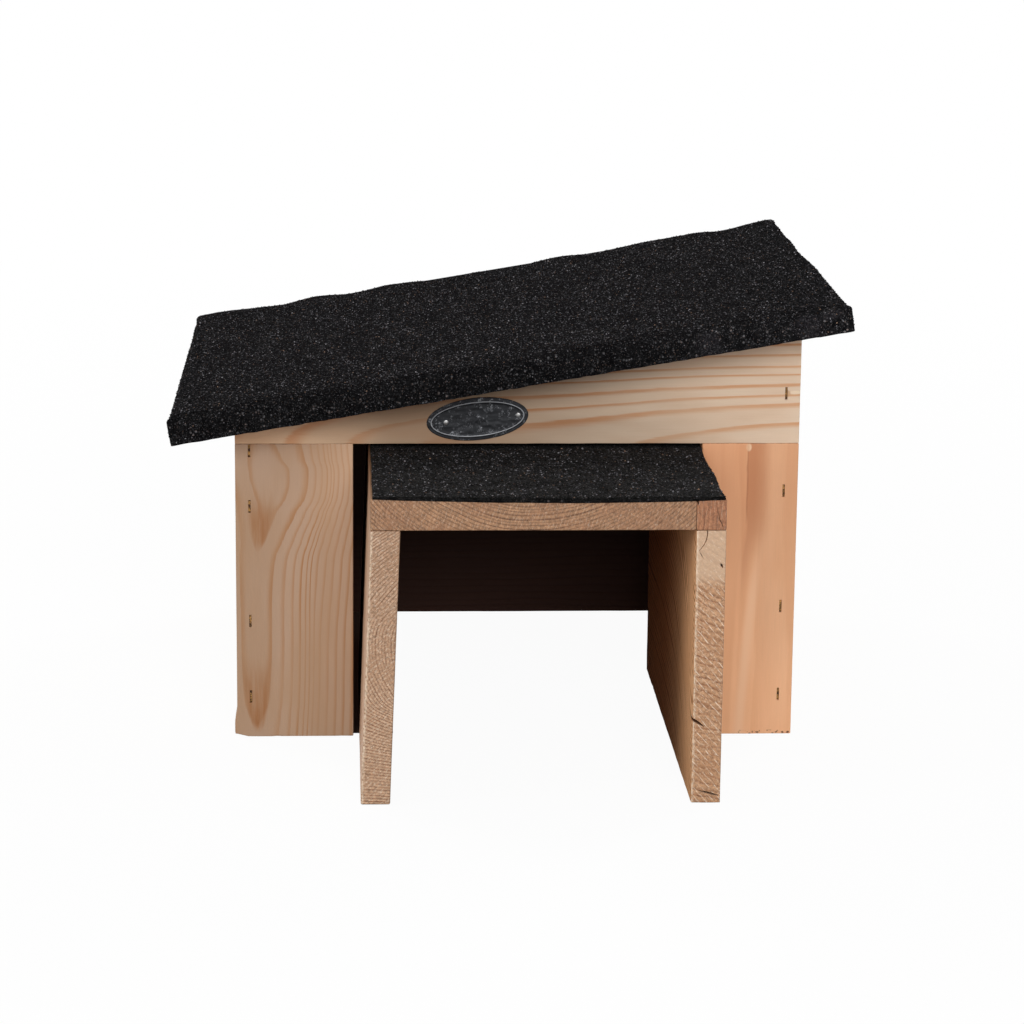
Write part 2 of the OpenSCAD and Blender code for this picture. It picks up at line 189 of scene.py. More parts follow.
def facing_out(piece, weld=0.0):
    """The piece with its faces turned outwards, and points closer than the weld made one"""
    shape = bmesh.new()
    shape.from_mesh(piece.data)
    if weld:
        bmesh.ops.remove_doubles(shape, verts=shape.verts, dist=weld)
    bmesh.ops.recalc_face_normals(shape, faces=shape.faces)
    shape.to_mesh(piece.data)
    shape.free()
    return piece


def prism(start, end):
    """Points and faces of a prism between two outlines with as many points each"""
    count = len(start)
    sides = [(i, (i + 1) % count, count + (i + 1) % count, count + i) for i in range(count)]
    caps = [tuple(reversed(range(count))), tuple(range(count, 2 * count))]
    return [*start, *end], sides + caps


def carve(piece, parts):
    """Cuts shapes, each given as points and faces in the house's frame, out of the piece"""
    points = []
    faces = []
    for part_points, part_faces in parts:
        faces.extend([tuple(len(points) + i for i in face) for face in part_faces])
        points.extend(part_points)
    cutter = facing_out(solid("cutter", points, faces, HOUSE))
    cut = piece.modifiers.new("cut", "BOOLEAN")
    cut.operation = "DIFFERENCE"
    cut.solver = "EXACT"
    cut.object = cutter
    settled(piece)
    bpy.data.objects.remove(cutter)
    smooth(piece)


def put(piece, body, nodes=(), material=None):
    """Gives a piece its body, the CAD nodes it stands for and its material"""
    if material:
        piece.data.materials.clear()
        piece.data.materials.append(material)
    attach(piece, body)
    for node in nodes:
        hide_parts(node)


def node_points(node, place):
    """The points of a CAD node in one of the two frames, in millimetres"""
    points = np.array([v.co for v in frame["nodes"][node].data.vertices], float)
    back = np.array(place.inverted())
    return points @ back[:3, :3].T + back[:3, 3]


def extent(node, place):
    """Lowest and highest corner of a CAD node in one of the two frames"""
    points = node_points(node, place)
    return points.min(0), points.max(0)


def separate_solids(node, place):
    """Lowest and highest corner of each separate solid in a CAD node, in one of the frames"""
    shape = bmesh.new()
    shape.from_mesh(frame["nodes"][node].data)
    bmesh.ops.remove_doubles(shape, verts=shape.verts, dist=1e-6)
    back = place.inverted()
    seen = set()
    found = []
    for first in shape.verts:
        if first in seen:
            continue
        group = [first]
        seen.add(first)
        for vertex in group:
            for edge in vertex.link_edges:
                other = edge.other_vert(vertex)
                if other not in seen:
                    seen.add(other)
                    group.append(other)
        local = np.array([back @ v.co for v in group])
        found.append((local.min(0), local.max(0)))
    shape.free()
    return sorted(found, key=lambda pair: tuple(np.round(pair[0], 1)))


class Value:
    """What a node works out; arithmetic with values adds the nodes for it"""

    def __init__(self, wiring, socket):
        self.wiring = wiring
        self.socket = socket

    def __add__(self, other):
        return self.wiring.math("ADD", self, other)

    def __sub__(self, other):
        return self.wiring.math("SUBTRACT", self, other)

    def __rsub__(self, other):
        return self.wiring.math("SUBTRACT", other, self)

    def __mul__(self, other):
        return self.wiring.math("MULTIPLY", self, other)

    def __truediv__(self, other):
        return self.wiring.math("DIVIDE", self, other)

    def __rtruediv__(self, other):
        return self.wiring.math("DIVIDE", other, self)

    def __abs__(self):
        return self.wiring.math("ABSOLUTE", self)

    __radd__ = __add__
    __rmul__ = __mul__


class Wiring:
    """Puts nodes into one tree and joins them up"""

    def __init__(self, tree):
        self.tree = tree

    def feed(self, socket, value):
        """A value joins up with the socket; anything else is set on it"""
        if isinstance(value, Value):
            self.tree.links.new(value.socket, socket)
        elif socket.type == "RGBA" and len(value) == 3:
            socket.default_value = (*value, 1.0)
        else:
            socket.default_value = value

    def made(self, kind, *values, **settings):
        """A new node; its inputs are given in turn, or as pairs of a name or number and a value"""
        node = self.tree.nodes.new(kind)
        for key, value in settings.items():
            setattr(node, key, value)
        for place, value in enumerate(values):
            if isinstance(value, tuple) and len(value) == 2:
                place, value = value
            self.feed(node.inputs[place], value)
        return node

    def outputs(self, node):
        """A node's outputs by name"""
        return {socket.name: Value(self, socket) for socket in node.outputs}

    def node(self, kind, *values, out=0, **settings):
        return Value(self, self.made(kind, *values, **settings).outputs[out])

    def math(self, operation, *values, clamp=False):
        return self.node("ShaderNodeMath", *values, operation=operation, use_clamp=clamp)

    def length(self, *parts):
        return self.math("SQRT", sum(part * part for part in parts))

    def vector(self, x, y, z):
        return self.node("ShaderNodeCombineXYZ", x, y, z)

    def noise(self, place, detail=2.0, roughness=0.5, scale=1.0):
        """Cloudy noise, 0 to 1, at a place that may be given as three values"""
        if isinstance(place, tuple):
            place = self.vector(*place)
        return self.node(
            "ShaderNodeTexNoise",
            ("Vector", place), ("Scale", scale), ("Detail", detail), ("Roughness", roughness)
        )

    def rise(self, value, low, high, to_low=0.0, to_high=1.0):
        """A soft rise between two places, or a fall where the first is the higher"""
        limits = low, high, to_low, to_high
        return self.node("ShaderNodeMapRange", value, *limits, interpolation_type="SMOOTHSTEP")

    def mix(self, share, a, b, blend="MIX"):
        return self.node(
            "ShaderNodeMix", share, (6, a), (7, b), out=2, data_type="RGBA", blend_type=blend
        )

    def tint(self, colour, other):
        """A colour times another colour, or times a plain value"""
        return self.mix(1.0, colour, other, "MULTIPLY")

    def coats(self, colour, *coats):
        """A colour below coats, each a share and a colour"""
        for share, coat in coats:
            colour = self.mix(share, colour, coat)
        return colour

    def curve(self, value, places):
        """A smooth curve through (value, result) places"""
        xs, ys = zip(*places)
        low, high = min(ys), max(ys)
        spots = [((x - xs[0]) / (xs[-1] - xs[0]), (y - low) / (high - low)) for x, y in places]
        share = self.node("ShaderNodeMapRange", value, xs[0], xs[-1], 0.0, 1.0)
        made = self.made("ShaderNodeFloatCurve", ("Value", share))
        line = made.mapping.curves[0]
        for spot in spots[1:-1]:
            line.points.new(*spot)
        line.points[0].location = spots[0]
        line.points[len(places) - 1].location = spots[-1]
        made.mapping.update()
        return Value(self, made.outputs[0]) * (high - low) + low


def label(name):
    """A socket's name, from the name it has in this script"""
    return name.replace("_", " ").title()


def group_of(tree_type, name, **inputs):
    """Makes a node group of a function, which gets its inputs by name and gives back its
    outputs by name. An input is given by its default, or by its kind if it has none"""

    def make(fill):
        tree = bpy.data.node_groups.new(name, tree_type)
        sockets = tree.interface
        for key, default in inputs.items():
            kind = {str: default, float: "Float", int: "Int", tuple: "Color"}[type(default)]
            if kind == "Color" and len(default) == 3:
                kind = "Vector"
            made = sockets.new_socket(name=label(key), in_out="INPUT", socket_type="NodeSocket" + kind)
            if kind != default:
                made.default_value = default
        w = Wiring(tree)
        given = w.outputs(tree.nodes.new("NodeGroupInput"))
        results = fill(w, SimpleNamespace(**{key: given[label(key)] for key in inputs}))
        for key in results:
            kind = key if key in ("Color", "Geometry") else "Float"
            sockets.new_socket(name=key, in_out="OUTPUT", socket_type="NodeSocket" + kind)
        end = tree.nodes.new("NodeGroupOutput")
        for key, value in results.items():
            w.feed(end.inputs[key], value)
        return tree

    return make


@group_of(
    "ShaderNodeTree", "pine_grain", along=0.0, across=0.0, through=0.0, pith_across=0.0,
    pith_through=40.0, ring_width=4.0, ring_contrast=1.0, line_fineness=1.2, wander=0.5, seed=0.0,
    end_grain=0.0, rings=0.0, rings_given=0.0, pale=srgb(214, 180, 145), line=srgb(196, 130, 80),
    warm=srgb(200, 155, 120)
)
def pine_grain(w, given):
    """Pine cut anywhere out of a trunk: growth rings round a pith line, fibres and end grain.
    Along, across and through are millimetres in the board's own directions"""
    along, across, through = given.along, given.across, given.through
    seed = given.seed * 31.7
    wander = w.noise((along * 0.006, across * 0.03 + seed, through * 0.03)) - 0.5
    radius = w.length(across - given.pith_across, through - given.pith_through)
    rings = radius / given.ring_width + wander * (given.wander * 2.0)
    rings = w.noise((rings * 0.55 + seed, 0.0, 0.0), 1.0) * 1.3 + rings
    rings = given.rings_given * (given.rings - rings) + rings
    rings = (w.noise((along * 0.04, across * 0.9, through * 0.9)) - 0.5) * 0.16 + rings
    part = w.math("FRACT", rings)
    number = w.math("FLOOR", rings) + seed
    own = w.node("ShaderNodeTexWhiteNoise", ("W", number), noise_dimensions="1D")
    late = w.math("POWER", w.rise(part, 0.42, 0.86) * w.rise(part, 1.0, 0.88), given.line_fineness)
    line = late * (given.ring_contrast * (own * 0.5 + 0.6))
    hair = w.noise((along * 0.045, across * 2.6, through * 2.6), 3.0, 0.6)
    down = w.noise((along * 0.35, across * 5.0, through * 5.0), 2.0, 0.6)
    cloud = w.noise((along * 0.012, across * 0.045 + seed, through * 0.045))
    colour = w.coats(
        given.pale, (line, given.line), (w.rise(cloud, 0.35, 0.75, 0.0, 0.75), given.warm)
    )
    shade = hair * 0.16 + 0.92 + (down - 0.5) * 0.07
    flecks = w.noise((along * 0.55, across * 0.6, through * 0.6), 3.0, 0.75)
    pores = w.noise((along * 0.5, across * 0.28, through * 0.28))
    end_shade = flecks * 2.2 - 0.1 + (pores - 0.5) * 0.25
    shade = shade + given.end_grain * (end_shade - shade)
    height = hair * 0.5 + line * 0.35 + given.end_grain * flecks
    return dict(Color=w.tint(colour, shade), Roughness=hair * 0.18 + 0.51, Height=height)


@group_of(
    "ShaderNodeTree", "saw_marks", color=(0.5, 0.4, 0.3, 1.0), across_marks=0.0, along_marks=0.0,
    spacing=3.5, amount=0.5, tufts=0.0, seed=0.0
)
def saw_marks(w, given):
    """Scores that a saw leaves on rough wood: pale torn fibres along slanting lines"""
    across, along, seed = given.across_marks, given.along_marks, given.seed
    wobble = w.noise((along * 0.12, across * 0.12, seed))
    groove = w.math("PINGPONG", (wobble * 2.2 + across) / given.spacing, 0.5)
    groove = w.rise(groove, 0.36, 0.5) * w.rise(wobble, 0.3, 0.6, 0.35, 1.0)
    torn = w.noise((along * 0.26, across * 1.3, seed), 3.0, 0.7)
    tuft = w.noise((along * 0.36, across * 0.75, seed), 3.0, 0.8)
    pale = groove * w.rise(torn, 0.42, 0.6) * given.amount
    pale = w.math("MAXIMUM", pale, w.rise(tuft, 0.55, 0.66) * given.tufts)
    dark = w.rise(torn, 0.46, 0.3) * (given.amount * 0.5)
    colour = w.coats(given.color, (pale, srgb(228, 208, 186)), (dark, (0.16, 0.075, 0.04)))
    return dict(Color=colour, Height=groove * 0.6 + torn)


@group_of(
    "ShaderNodeTree", "mineral_felt", place=(0.0, 0.0, 0.0), bitumen=srgb(10, 10, 11),
    dust=srgb(28, 28, 29), scuff=0.0, seed=0.0
)
def mineral_felt(w, given):
    """Bitumen felt dressed with slate grit: near black, with grey, white and rosy grains"""
    place = w.node(
        "ShaderNodeVectorMath", given.place, w.vector(given.seed, 0.0, 0.0), operation="ADD"
    )

    def grains(scale, power):
        cells = w.made("ShaderNodeTexVoronoi", ("Vector", place), ("Scale", scale), feature="F1")
        cells = w.outputs(cells)
        tint = w.node("ShaderNodeSeparateColor", cells["Color"])
        return w.math("POWER", tint, power) * w.rise(cells["Distance"], 0.62, 0.25), cells

    fine, fine_cells = grains(1.5, 5.0)
    coarse, coarse_cells = grains(0.62, 16.0)
    amount = w.rise(w.noise(place, 3.0, 0.6, 0.035), 0.25, 0.75, 0.6, 1.25)
    speck = w.math("MINIMUM", (coarse * 0.7 + fine * 0.5) * amount, 1.0)
    rosy = w.rise(w.node("ShaderNodeSeparateColor", fine_cells["Color"], out=1), 0.75, 0.95, 0.0, 0.45)
    dusty = w.rise(w.noise(place, 4.0, 0.8, 0.9), 0.38, 0.66)
    worn = w.rise(w.noise(place, 3.0, 0.65, 0.16), 0.32, 0.68, 0.35, 1.45)
    broken = w.rise(w.noise(place, 3.0, 0.7, 0.7), 0.35, 0.62)
    colour = w.coats(
        given.bitumen,
        # Dust; on the tunnel's felt, painted light as well
        (dusty * worn, given.dust),
        # Paler where rubbed, and painted highlights on the lid's ripples
        (given.scuff * broken * 0.2, srgb(72, 68, 74)),
        (speck, w.mix(rosy, srgb(120, 119, 122), srgb(196, 160, 142)))
    )
    bumps = fine_cells["Distance"] * -0.8 + coarse_cells["Distance"] * -0.6
    height = bumps + w.noise(place, 3.0, 0.6, 0.9)
    return dict(Color=colour, Roughness=speck * -0.2 + 0.88, Height=height)


@group_of(
    "ShaderNodeTree", "worn_metal", place=(0.0, 0.0, 0.0), clean=srgb(170, 172, 175),
    stain=srgb(90, 80, 70), amount=0.4, size=0.5, roughness=0.35
)
def worn_metal(w, given):
    """Metal that has dulled: a clean colour clouded and spotted by a stain"""
    cloud = w.noise(given.place, 4.0, 0.65, given.size)
    spots = w.noise(given.place, 3.0, 0.6, given.size * 5.0)
    low = 0.62 - given.amount * 0.4
    stained = w.rise(cloud * 0.65 + spots * 0.35, low, low + 0.18)
    return dict(
        Color=w.mix(stained, given.clean, given.stain),
        Roughness=stained * 0.3 + given.roughness + spots * 0.08,
        Height=spots * 0.4 + stained * 0.6,
        Stained=stained
    )


def in_group(w, tree, **values):
    """The outputs of a node group placed in a material, by name"""
    node = w.made("ShaderNodeGroup", node_tree=tree)
    for name, value in values.items():
        w.feed(node.inputs[label(name)], value)
    return w.outputs(node)


def new_material(name):
    """A node material and the wiring to fill it"""
    material = bpy.data.materials.new(name)
    material.use_nodes = True
    return material, Wiring(material.node_tree)


def dress(w, relief=0.0, height=None, **values):
    """Feeds the material's shader; the relief of a height is in millimetres"""
    shader = w.tree.nodes["Principled BSDF"]
    for name, value in values.items():
        w.feed(shader.inputs[name.replace("_", " ")], value)
    if height is not None:
        bump = ("Strength", 1.0), ("Distance", relief * MM), ("Height", height)
        w.feed(shader.inputs["Normal"], w.node("ShaderNodeBump", *bump))


def object_place(w):
    """The point's place on the piece, in millimetres"""
    place = w.node("ShaderNodeTexCoord", out="Object")
    return w.node("ShaderNodeVectorMath", place, (1 / MM,) * 3, operation="MULTIPLY")


def dot(w, vector, direction):
    """How far a vector reaches along a direction, which is one long"""
    return w.node("ShaderNodeVectorMath", vector, direction, out="Value", operation="DOT_PRODUCT")


def measured(w, place, origin, direction):
    """Distance of a place from an origin in metres, along a direction, in millimetres"""
    direction = Vector(direction).normalized()
    return dot(w, place, direction) - direction.dot(Vector(origin)) / MM


def facing(w, direction):
    """How squarely the surface faces along a direction of the piece, -1 to 1"""
    return dot(w, w.node("ShaderNodeTexCoord", out="Normal"), Vector(direction).normalized())


def pine(name, place, corner, along, across, through, colours, extra=None, relief=0.12, inside=None,
         **figure):
    """A pine material for one board: its directions in a frame, and its own figure. A board's
    inside has a direction and two tints of painted light and shade, near its start and deep in"""
    material, w = new_material(name)
    turn = place.to_3x3()
    spot, origin = object_place(w), place @ Vector(corner)
    sides = [measured(w, spot, origin, turn @ Vector(axis)) for axis in (along, across, through)]
    end = w.rise(abs(facing(w, turn @ Vector(along))), 0.55, 0.8)
    figure = {key: value(w, sides) if callable(value) else value for key, value in figure.items()}
    grain = in_group(
        w, pine_grain, along=sides[0], across=sides[1], through=sides[2], end_grain=end,
        **colours, **figure
    )
    colour, height = grain["Color"], grain["Height"]
    if inside:
        direction, near, deep = inside
        # Painted light and shade: faces that look along the inside direction get a tint that runs from
        # the near one to the deep one along the board
        inward = w.rise(facing(w, turn @ Vector(direction)), 0.6, 0.85)
        shade = w.mix(w.rise(sides[0], 25.0, 190.0), near, deep)
        colour = w.mix(inward, colour, w.tint(colour, shade))
    if extra:
        colour, height = extra(w, colour, height, sides, end)
    dress(w, relief, height, Base_Color=colour, Roughness=grain["Roughness"], Specular_IOR_Level=0.32)
    return material


def metal(name, metallic, clean, stain, amount, size, roughness, relief=0.04):
    """A dulled metal material"""
    material, w = new_material(name)
    worn = in_group(
        w, worn_metal, place=object_place(w), clean=srgb(*clean), stain=srgb(*stain),
        amount=amount, size=size, roughness=roughness
    )
    shiny = metallic - worn["Stained"] * (0.6 * metallic)
    dress(w, relief, worn["Height"], Base_Color=worn["Color"], Roughness=worn["Roughness"],
          Metallic=shiny)
    return material


PLANED = dict(pale=srgb(220, 192, 164), line=srgb(204, 148, 104), warm=srgb(208, 172, 140))
GREYED = dict(pale=srgb(171, 142, 120), line=srgb(157, 112, 74), warm=srgb(166, 133, 105))
SEASONED = dict(pale=srgb(204, 174, 146), line=srgb(184, 132, 90), warm=srgb(192, 156, 124))
ROSY = dict(pale=srgb(238, 184, 142), line=srgb(212, 148, 104), warm=srgb(230, 172, 128))
ROUGH = dict(pale=srgb(190, 158, 132), line=srgb(134, 92, 64), warm=srgb(174, 138, 110))
TAWNY = dict(pale=srgb(150, 113, 83), line=srgb(92, 59, 40), warm=srgb(136, 97, 70))
RUSSET = dict(pale=srgb(157, 109, 78), line=srgb(103, 61, 41), warm=srgb(138, 91, 64))


def staple_holes(node, place, fit=0.12, mouth=1.2, wire=1.0):
    """Cutters for the staples of a node: a crown's slot and its two legs, as one outline each"""
    parts = []
    for low, high in separate_solids(node, place):
        crown, feet, inwards = (low[1], high[1], 1) if is_front(low, high) else (high[1], low[1], -1)
        outside, end = crown - inwards * mouth, feet + inwards * fit
        seat = crown + inwards * (wire + fit)
        z0, z1, thick = low[2] - fit, high[2] + fit, wire + 2 * fit
        outline = [
            (outside, z0), (end, z0), (end, z0 + thick), (seat, z0 + thick),
            (seat, z1 - thick), (end, z1 - thick), (end, z1), (outside, z1)
        ]
        parts.append(prism(*([(x, y, z) for y, z in outline] for x in (low[0] - fit, high[0] + fit))))
    return parts


def is_front(low, high):
    """Whether something sits in the front half of the house"""
    return (low[1] + high[1]) / 2 < HOUSE_MIDDLE[1]


def splits(paths, front, depth=9.0):
    """Cutters for splits and checks in a board's front: (x, z, width) places along each"""
    parts = []
    for path in paths:
        middle = np.array([(x, z) for x, z, width in path], float)
        half = np.array([width / 2 for x, z, width in path])[:, None]
        run = np.gradient(middle, axis=0)
        run /= np.linalg.norm(run, axis=1)[:, None]
        side = np.stack([-run[:, 1], run[:, 0]], axis=1) * half
        outline = [*(middle + side), *reversed(middle - side)]
        parts.append(prism(*([(x, y, z) for x, z in outline] for y in (front - 1, front + depth))))
    return parts


def board(name, node, body, material, edge=0.9, step=4.0, sloped=False, place=HOUSE,
          wear=0.05, seed=1, holes=None, cracks=None, shaped=None):
    """A board in the space of its CAD node: eased, slightly worn edges and an uneven face"""
    low, high = extent(node, place)
    lean = 0.0
    if node == "tunnel_left_wall":
        corners = node_points(node, place)
        lean = corners[corners[:, 2] > high[2] - 1][:, 0].min() - low[0]
        low[0] += lean
    points, quads = skin(*(ticks(low[i], high[i], edge, step) for i in range(3)))
    radius = edge * (0.62 + 0.3 * drift(points, 16, seed))
    radius += edge * 1.3 * smooth_step(0.62, 0.95, drift(points, 6, seed + 5))
    points, out = eased(points, low, high, np.minimum(radius, 1.6 * edge))
    points = points - out * (wear * (0.6 + 0.6 * drift(points, 11, seed + 2)))[:, None]
    if sloped:
        top_at = high[2] - (high[0] - points[:, 0]) * math.tan(slope)
        middle = np.clip(points[:, 2], low[2] + 2 * edge, high[2] - 2 * edge)
        share = (middle - low[2] - 2 * edge) / (high[2] - low[2] - 4 * edge)
        moved = low[2] + 2 * edge + share * (top_at - low[2] - 4 * edge)
        points[:, 2] = moved + points[:, 2] - middle
    if lean:
        points[:, 0] -= lean * (1 - (points[:, 2] - low[2]) / (high[2] - low[2]))
    if shaped:
        points = shaped(points)
    piece = solid(name, points, quads, place)
    if holes:
        carve(piece, staple_holes(holes, place))
    if cracks:
        carve(piece, splits(cracks, low[1]))
    put(piece, body, [node], material)


def low_stile_rings(w, sides):
    """The low stile's figure: an island in its upper left, a flame at its foot, and rings
    that crowd at its middle and lean to the right in its upper third"""
    height, across = sides[0], sides[1]
    knee = w.curve(height, [
        (0, 23.6), (60, 23.6), (110, 24.9), (130, 30.2), (148, 38.3), (174, 46.0), (183, 44.0),
        (194, 42.5)
    ])
    stretch = w.curve(height, [
        (0, 1.0), (100, 1.0), (120, 1.1), (148, 1.63), (174, 2.16), (194, 2.25)
    ])
    depth = w.curve(height, [
        (0, 15.2), (4, 14.7), (15, 13.3), (27, 11.6), (59, 10.0), (100, 9.9), (118, 9.6), (132, 9.0),
        (148, 8.5), (160, 7.6), (174, 7.0), (183, 7.7), (194, 8.5)
    ])
    past = across - knee
    right = w.math("SMOOTH_MAX", past, 0.0, 3.0)
    crowding = 28.0 / (75.0 - knee) + 0.455
    settled_across = right * crowding + (past - right) / stretch + 23.6
    bend = w.rise(settled_across, 47.0, 56.0, 0.0, 2.6) * w.rise(height, 60.0, 110.0)
    return w.curve(w.length(settled_across - bend - 12.4, depth), [
        (0, 0.8), (7, 1.25), (8.2, 1.5), (9.4, 2), (14.7, 3), (21.2, 4), (26.4, 5), (30.8, 6),
        (33.9, 7), (36.4, 8), (39.2, 9), (43, 10), (48.2, 11), (53.4, 12), (58.5, 13), (70, 15.2)
    ])


def oval(w, along, up, middle, half):
    """1 in an oval spot, fading to 0 at its edge"""
    off = w.length((along - middle[0]) / half[0], (up - middle[1]) / half[1])
    return w.rise(off, 1.0, 0.55)


def high_stile_bands(w, colour, height, sides, end):
    """The high stile's darker heartwood band, with a sharp edge on its left, and its flames"""
    up, across = sides[0], sides[1]
    edge = w.curve(up, [
        (0, 20.5), (60, 22), (96, 23.1), (112, 24.2), (126, 26.5), (146, 29.3), (194, 29.3)
    ])
    uneven = w.noise((up * 0.08, across * 0.5, 3.0))
    past = across - edge + (uneven - 0.5) * 1.6
    blur = w.curve(up, [(0, 5.0), (110, 4.0), (140, 2.0), (152, 0.8), (194, 0.8)])
    begun = w.math("ADD", (past + 0.5) / blur, 0.0, clamp=True)
    band = begun * w.rise(past, 17.0, 4.0) * w.rise(up, 60.0, 165.0, 0.0, 0.8)
    hair = w.rise(abs(past), 0.9, 0.15) * w.rise(up, 138.0, 152.0, 0.0, 0.5)
    flame = across - w.curve(up, [(0, 27.5), (40, 30), (96, 34.9), (137, 40.6), (194, 52)])
    streak = w.rise(abs(flame), 5.0, 0.5) * w.rise(up, 150.0, 80.0, 0.0, 0.75)
    torn = oval(w, across, up, (29.9, 191.0), (2.2, 3.2)) * 0.8
    left = w.rise(past, 2.5, -0.5) * w.rise(up, 150.0, 60.0, 0.45, 0.3)
    damp = w.noise((across * 0.33, up * 0.5, 7.0), 2.0, 0.6)
    specks = w.rise(damp, 0.56, 0.62) * w.rise(up, 3.4, 1.4) * w.rise(across, 22.0, 30.0)
    colour = w.coats(
        colour,
        (band, srgb(186, 124, 84)),
        (hair, srgb(140, 84, 58)),
        (streak, srgb(238, 192, 154)),
        (torn, srgb(244, 214, 180)),
        (left, srgb(206, 146, 104)),
        (specks, srgb(112, 72, 48))
    )
    outer = w.rise(across, 32.0, 44.0) * w.rise(up, 20.0, 90.0)
    colour = w.mix(outer, colour, w.tint(colour, (0.88, 0.89, 0.9)))
    redder = w.mix(w.rise(up, 90.0, 180.0), (1.0, 1.0, 1.0), (0.88, 0.83, 0.8))
    return w.tint(colour, redder), height


def header_tone_and_painted_shadow(w, colour, height, sides, end):
    """The header is browner towards its left end, and paler and yellower at its right. Its shade
    curve, darkest from about 85 to 220 mm along, is partly the board's own tone and partly a
    painted shadow of the lid's overhang
    """
    along, up = sides[0], sides[1]
    cloud = w.noise((along * 0.012, up * 0.05, 4.0))
    place = (cloud - 0.5) * 90.0 + along
    # Partly the board's own tone, partly a painted shadow of the lid's overhang
    shade = w.curve(place, [
        (-20, 0.86), (30, 0.8), (50, 0.71), (85, 0.57), (110, 0.5), (160, 0.52), (195, 0.55),
        (220, 0.62), (290, 0.8), (380, 0.95)
    ])
    brown = w.mix(w.rise(place, 290.0, 120.0), (1.03, 1.08, 1.14), (1.0, 0.92, 0.84))
    bruised = oval(w, along, up, (351.8, 36.0), (2.3, 2.6)) * 0.75
    lifted = oval(w, along, up, (356.8, 36.6), (4.4, 1.6)) * 0.35
    toned = w.tint(w.tint(colour, shade), brown)
    return w.coats(toned, (bruised, srgb(190, 146, 104)), (lifted, srgb(238, 220, 190))), height


LOW_STILE_FLAMES = [
    ([(118, 13.6), (150, 16.6)], [(122, 0.5), (132, 5.0), (150, 9.0)], (121, 130, 144, 164)),
    ([(0, 13.5), (50, 13.0)], [(2, 2.0), (20, 7.0), (50, 11.0)], (1, 9, 32, 58)),
]


def low_stile_flames(w, colour, height, sides, end):
    """Resin has reddened the tips of the low stile's two islands in upright streaks. Each
    flame is given by its middle and half width at some heights, and by where it comes and goes"""
    up, across = sides[0], sides[1]
    streaks = w.noise((up * 0.03, across * 0.42, 9.0), 3.0, 0.6)
    for middle, half, (begin, full, fade, gone) in LOW_STILE_FLAMES:
        off = abs(across - w.curve(up, middle))
        inside = w.rise(off / w.curve(up, half), 1.15, 0.6)
        reach = w.rise(up, begin, full) * w.rise(streaks * 26.0 + up, gone + 13, fade + 13)
        amount = inside * reach * w.rise(streaks, 0.3, 0.62, 0.4, 1.0)
        colour = w.mix(amount, colour, w.tint(colour, (0.84, 0.66, 0.48)))
    # Painted light: the stile is lightened towards its right edge, next to the tunnel, to make up for
    # the tunnel's shadow there, and darkened towards its left edge
    painted_light_across = w.curve(across, [(0, 0.86), (25, 0.88), (48, 1.0), (62, 1.14), (75, 1.26)])
    return w.tint(colour, w.vector(painted_light_across, painted_light_across, painted_light_across * 0.97)), height


def swollen_foot(points):
    """The low stile's outer bottom corner has taken up damp and stands a little proud"""
    near = smooth_step(20, 9, points[:, 2]) * smooth_step(-168, -180, points[:, 0])
    points[:, 0] -= 1.5 * near
    points[:, 2] += 1.8 * smooth_step(5, 0, points[:, 2]) * smooth_step(-172, -181, points[:, 0])
    return points


left_stile_pine = pine(
    "pine_left_stile", HOUSE, (-180, 0, 0), Z, X, Y, GREYED, extra=low_stile_flames,
    ring_contrast=0.95, seed=3.0, rings=low_stile_rings, rings_given=1.0
)
right_stile_pine = pine(
    "pine_right_stile", HOUSE, (118, 0, 0), Z, X, Y, ROSY, extra=high_stile_bands,
    pith_across=70.0, pith_through=24.0, ring_width=12.0, ring_contrast=0.3, wander=0.6, seed=8.0
)
header_pine = pine(
    "pine_header", HOUSE, (-180, 0, 190), X, Z, Y, PLANED, extra=header_tone_and_painted_shadow,
    pith_through=lambda w, s: w.curve(s[0], [(0, 56), (120, 42), (215, 36.8), (280, 33), (360, 30)]),
    ring_contrast=lambda w, s: w.curve(s[0], [(0, 0.8), (110, 0.9), (180, 1.3), (360, 1.6)]),
    ring_width=5.6, line_fineness=2.1, wander=0.3, seed=2.0
)
board("left_stile_board", "left_stile", "house", left_stile_pine, seed=1,
      step=3.0, holes="front_staples", shaped=swollen_foot)
board("right_stile_board", "right_stile", "house", right_stile_pine, seed=2,
      step=3.0, holes="front_staples")
board("front_header_board", "front_header", "house", header_pine, seed=3,
      step=3.0, sloped=True, holes="front_staples")

# Painted shade for the inner faces of the house's boards, where little lamp light reaches; the back
# boards' is darker
INSIDE_PAINTED_SHADE = (0.3, 0.18, 0.11)
BACK_INSIDE_PAINTED_SHADE = (0.075, 0.026, 0.009)
# A node, its board's corner, how it lies, whether its top slopes, and where its pith is
HOUSE_BOARDS = [
    ("left_side_wall", (-180, 18, 0), Y, X, True, 90.0, 14.0),
    ("right_side_lower", (180, 18, 0), Y, LEFTWARD, False, 60.0, 26.0),
    ("right_side_upper", (180, 18, 193.5), Y, LEFTWARD, True, -20.0, 34.0),
    ("back_lower", (-180, 334, 0), X, FORWARD, False, 120.0, 12.0),
    ("back_upper", (-180, 334, 193.5), X, FORWARD, True, 10.0, 38.0),
]
for number, (node, corner, along, through, sloped, across_at, deep_at) in enumerate(HOUSE_BOARDS):
    at_back = "back" in node
    # The board's inner faces get painted shade
    shade = BACK_INSIDE_PAINTED_SHADE if at_back else INSIDE_PAINTED_SHADE
    material = pine(
        "pine_" + node, HOUSE, corner, along, Z, through, PLANED if "upper" in node else SEASONED,
        pith_across=across_at, pith_through=deep_at, ring_width=5.2, ring_contrast=0.85,
        wander=1.1, seed=11.0 + number, inside=(through, shade, shade)
    )
    board(node + "_board", node, "house", material, sloped=sloped, seed=20 + number,
          holes="back_staples" if at_back else None)

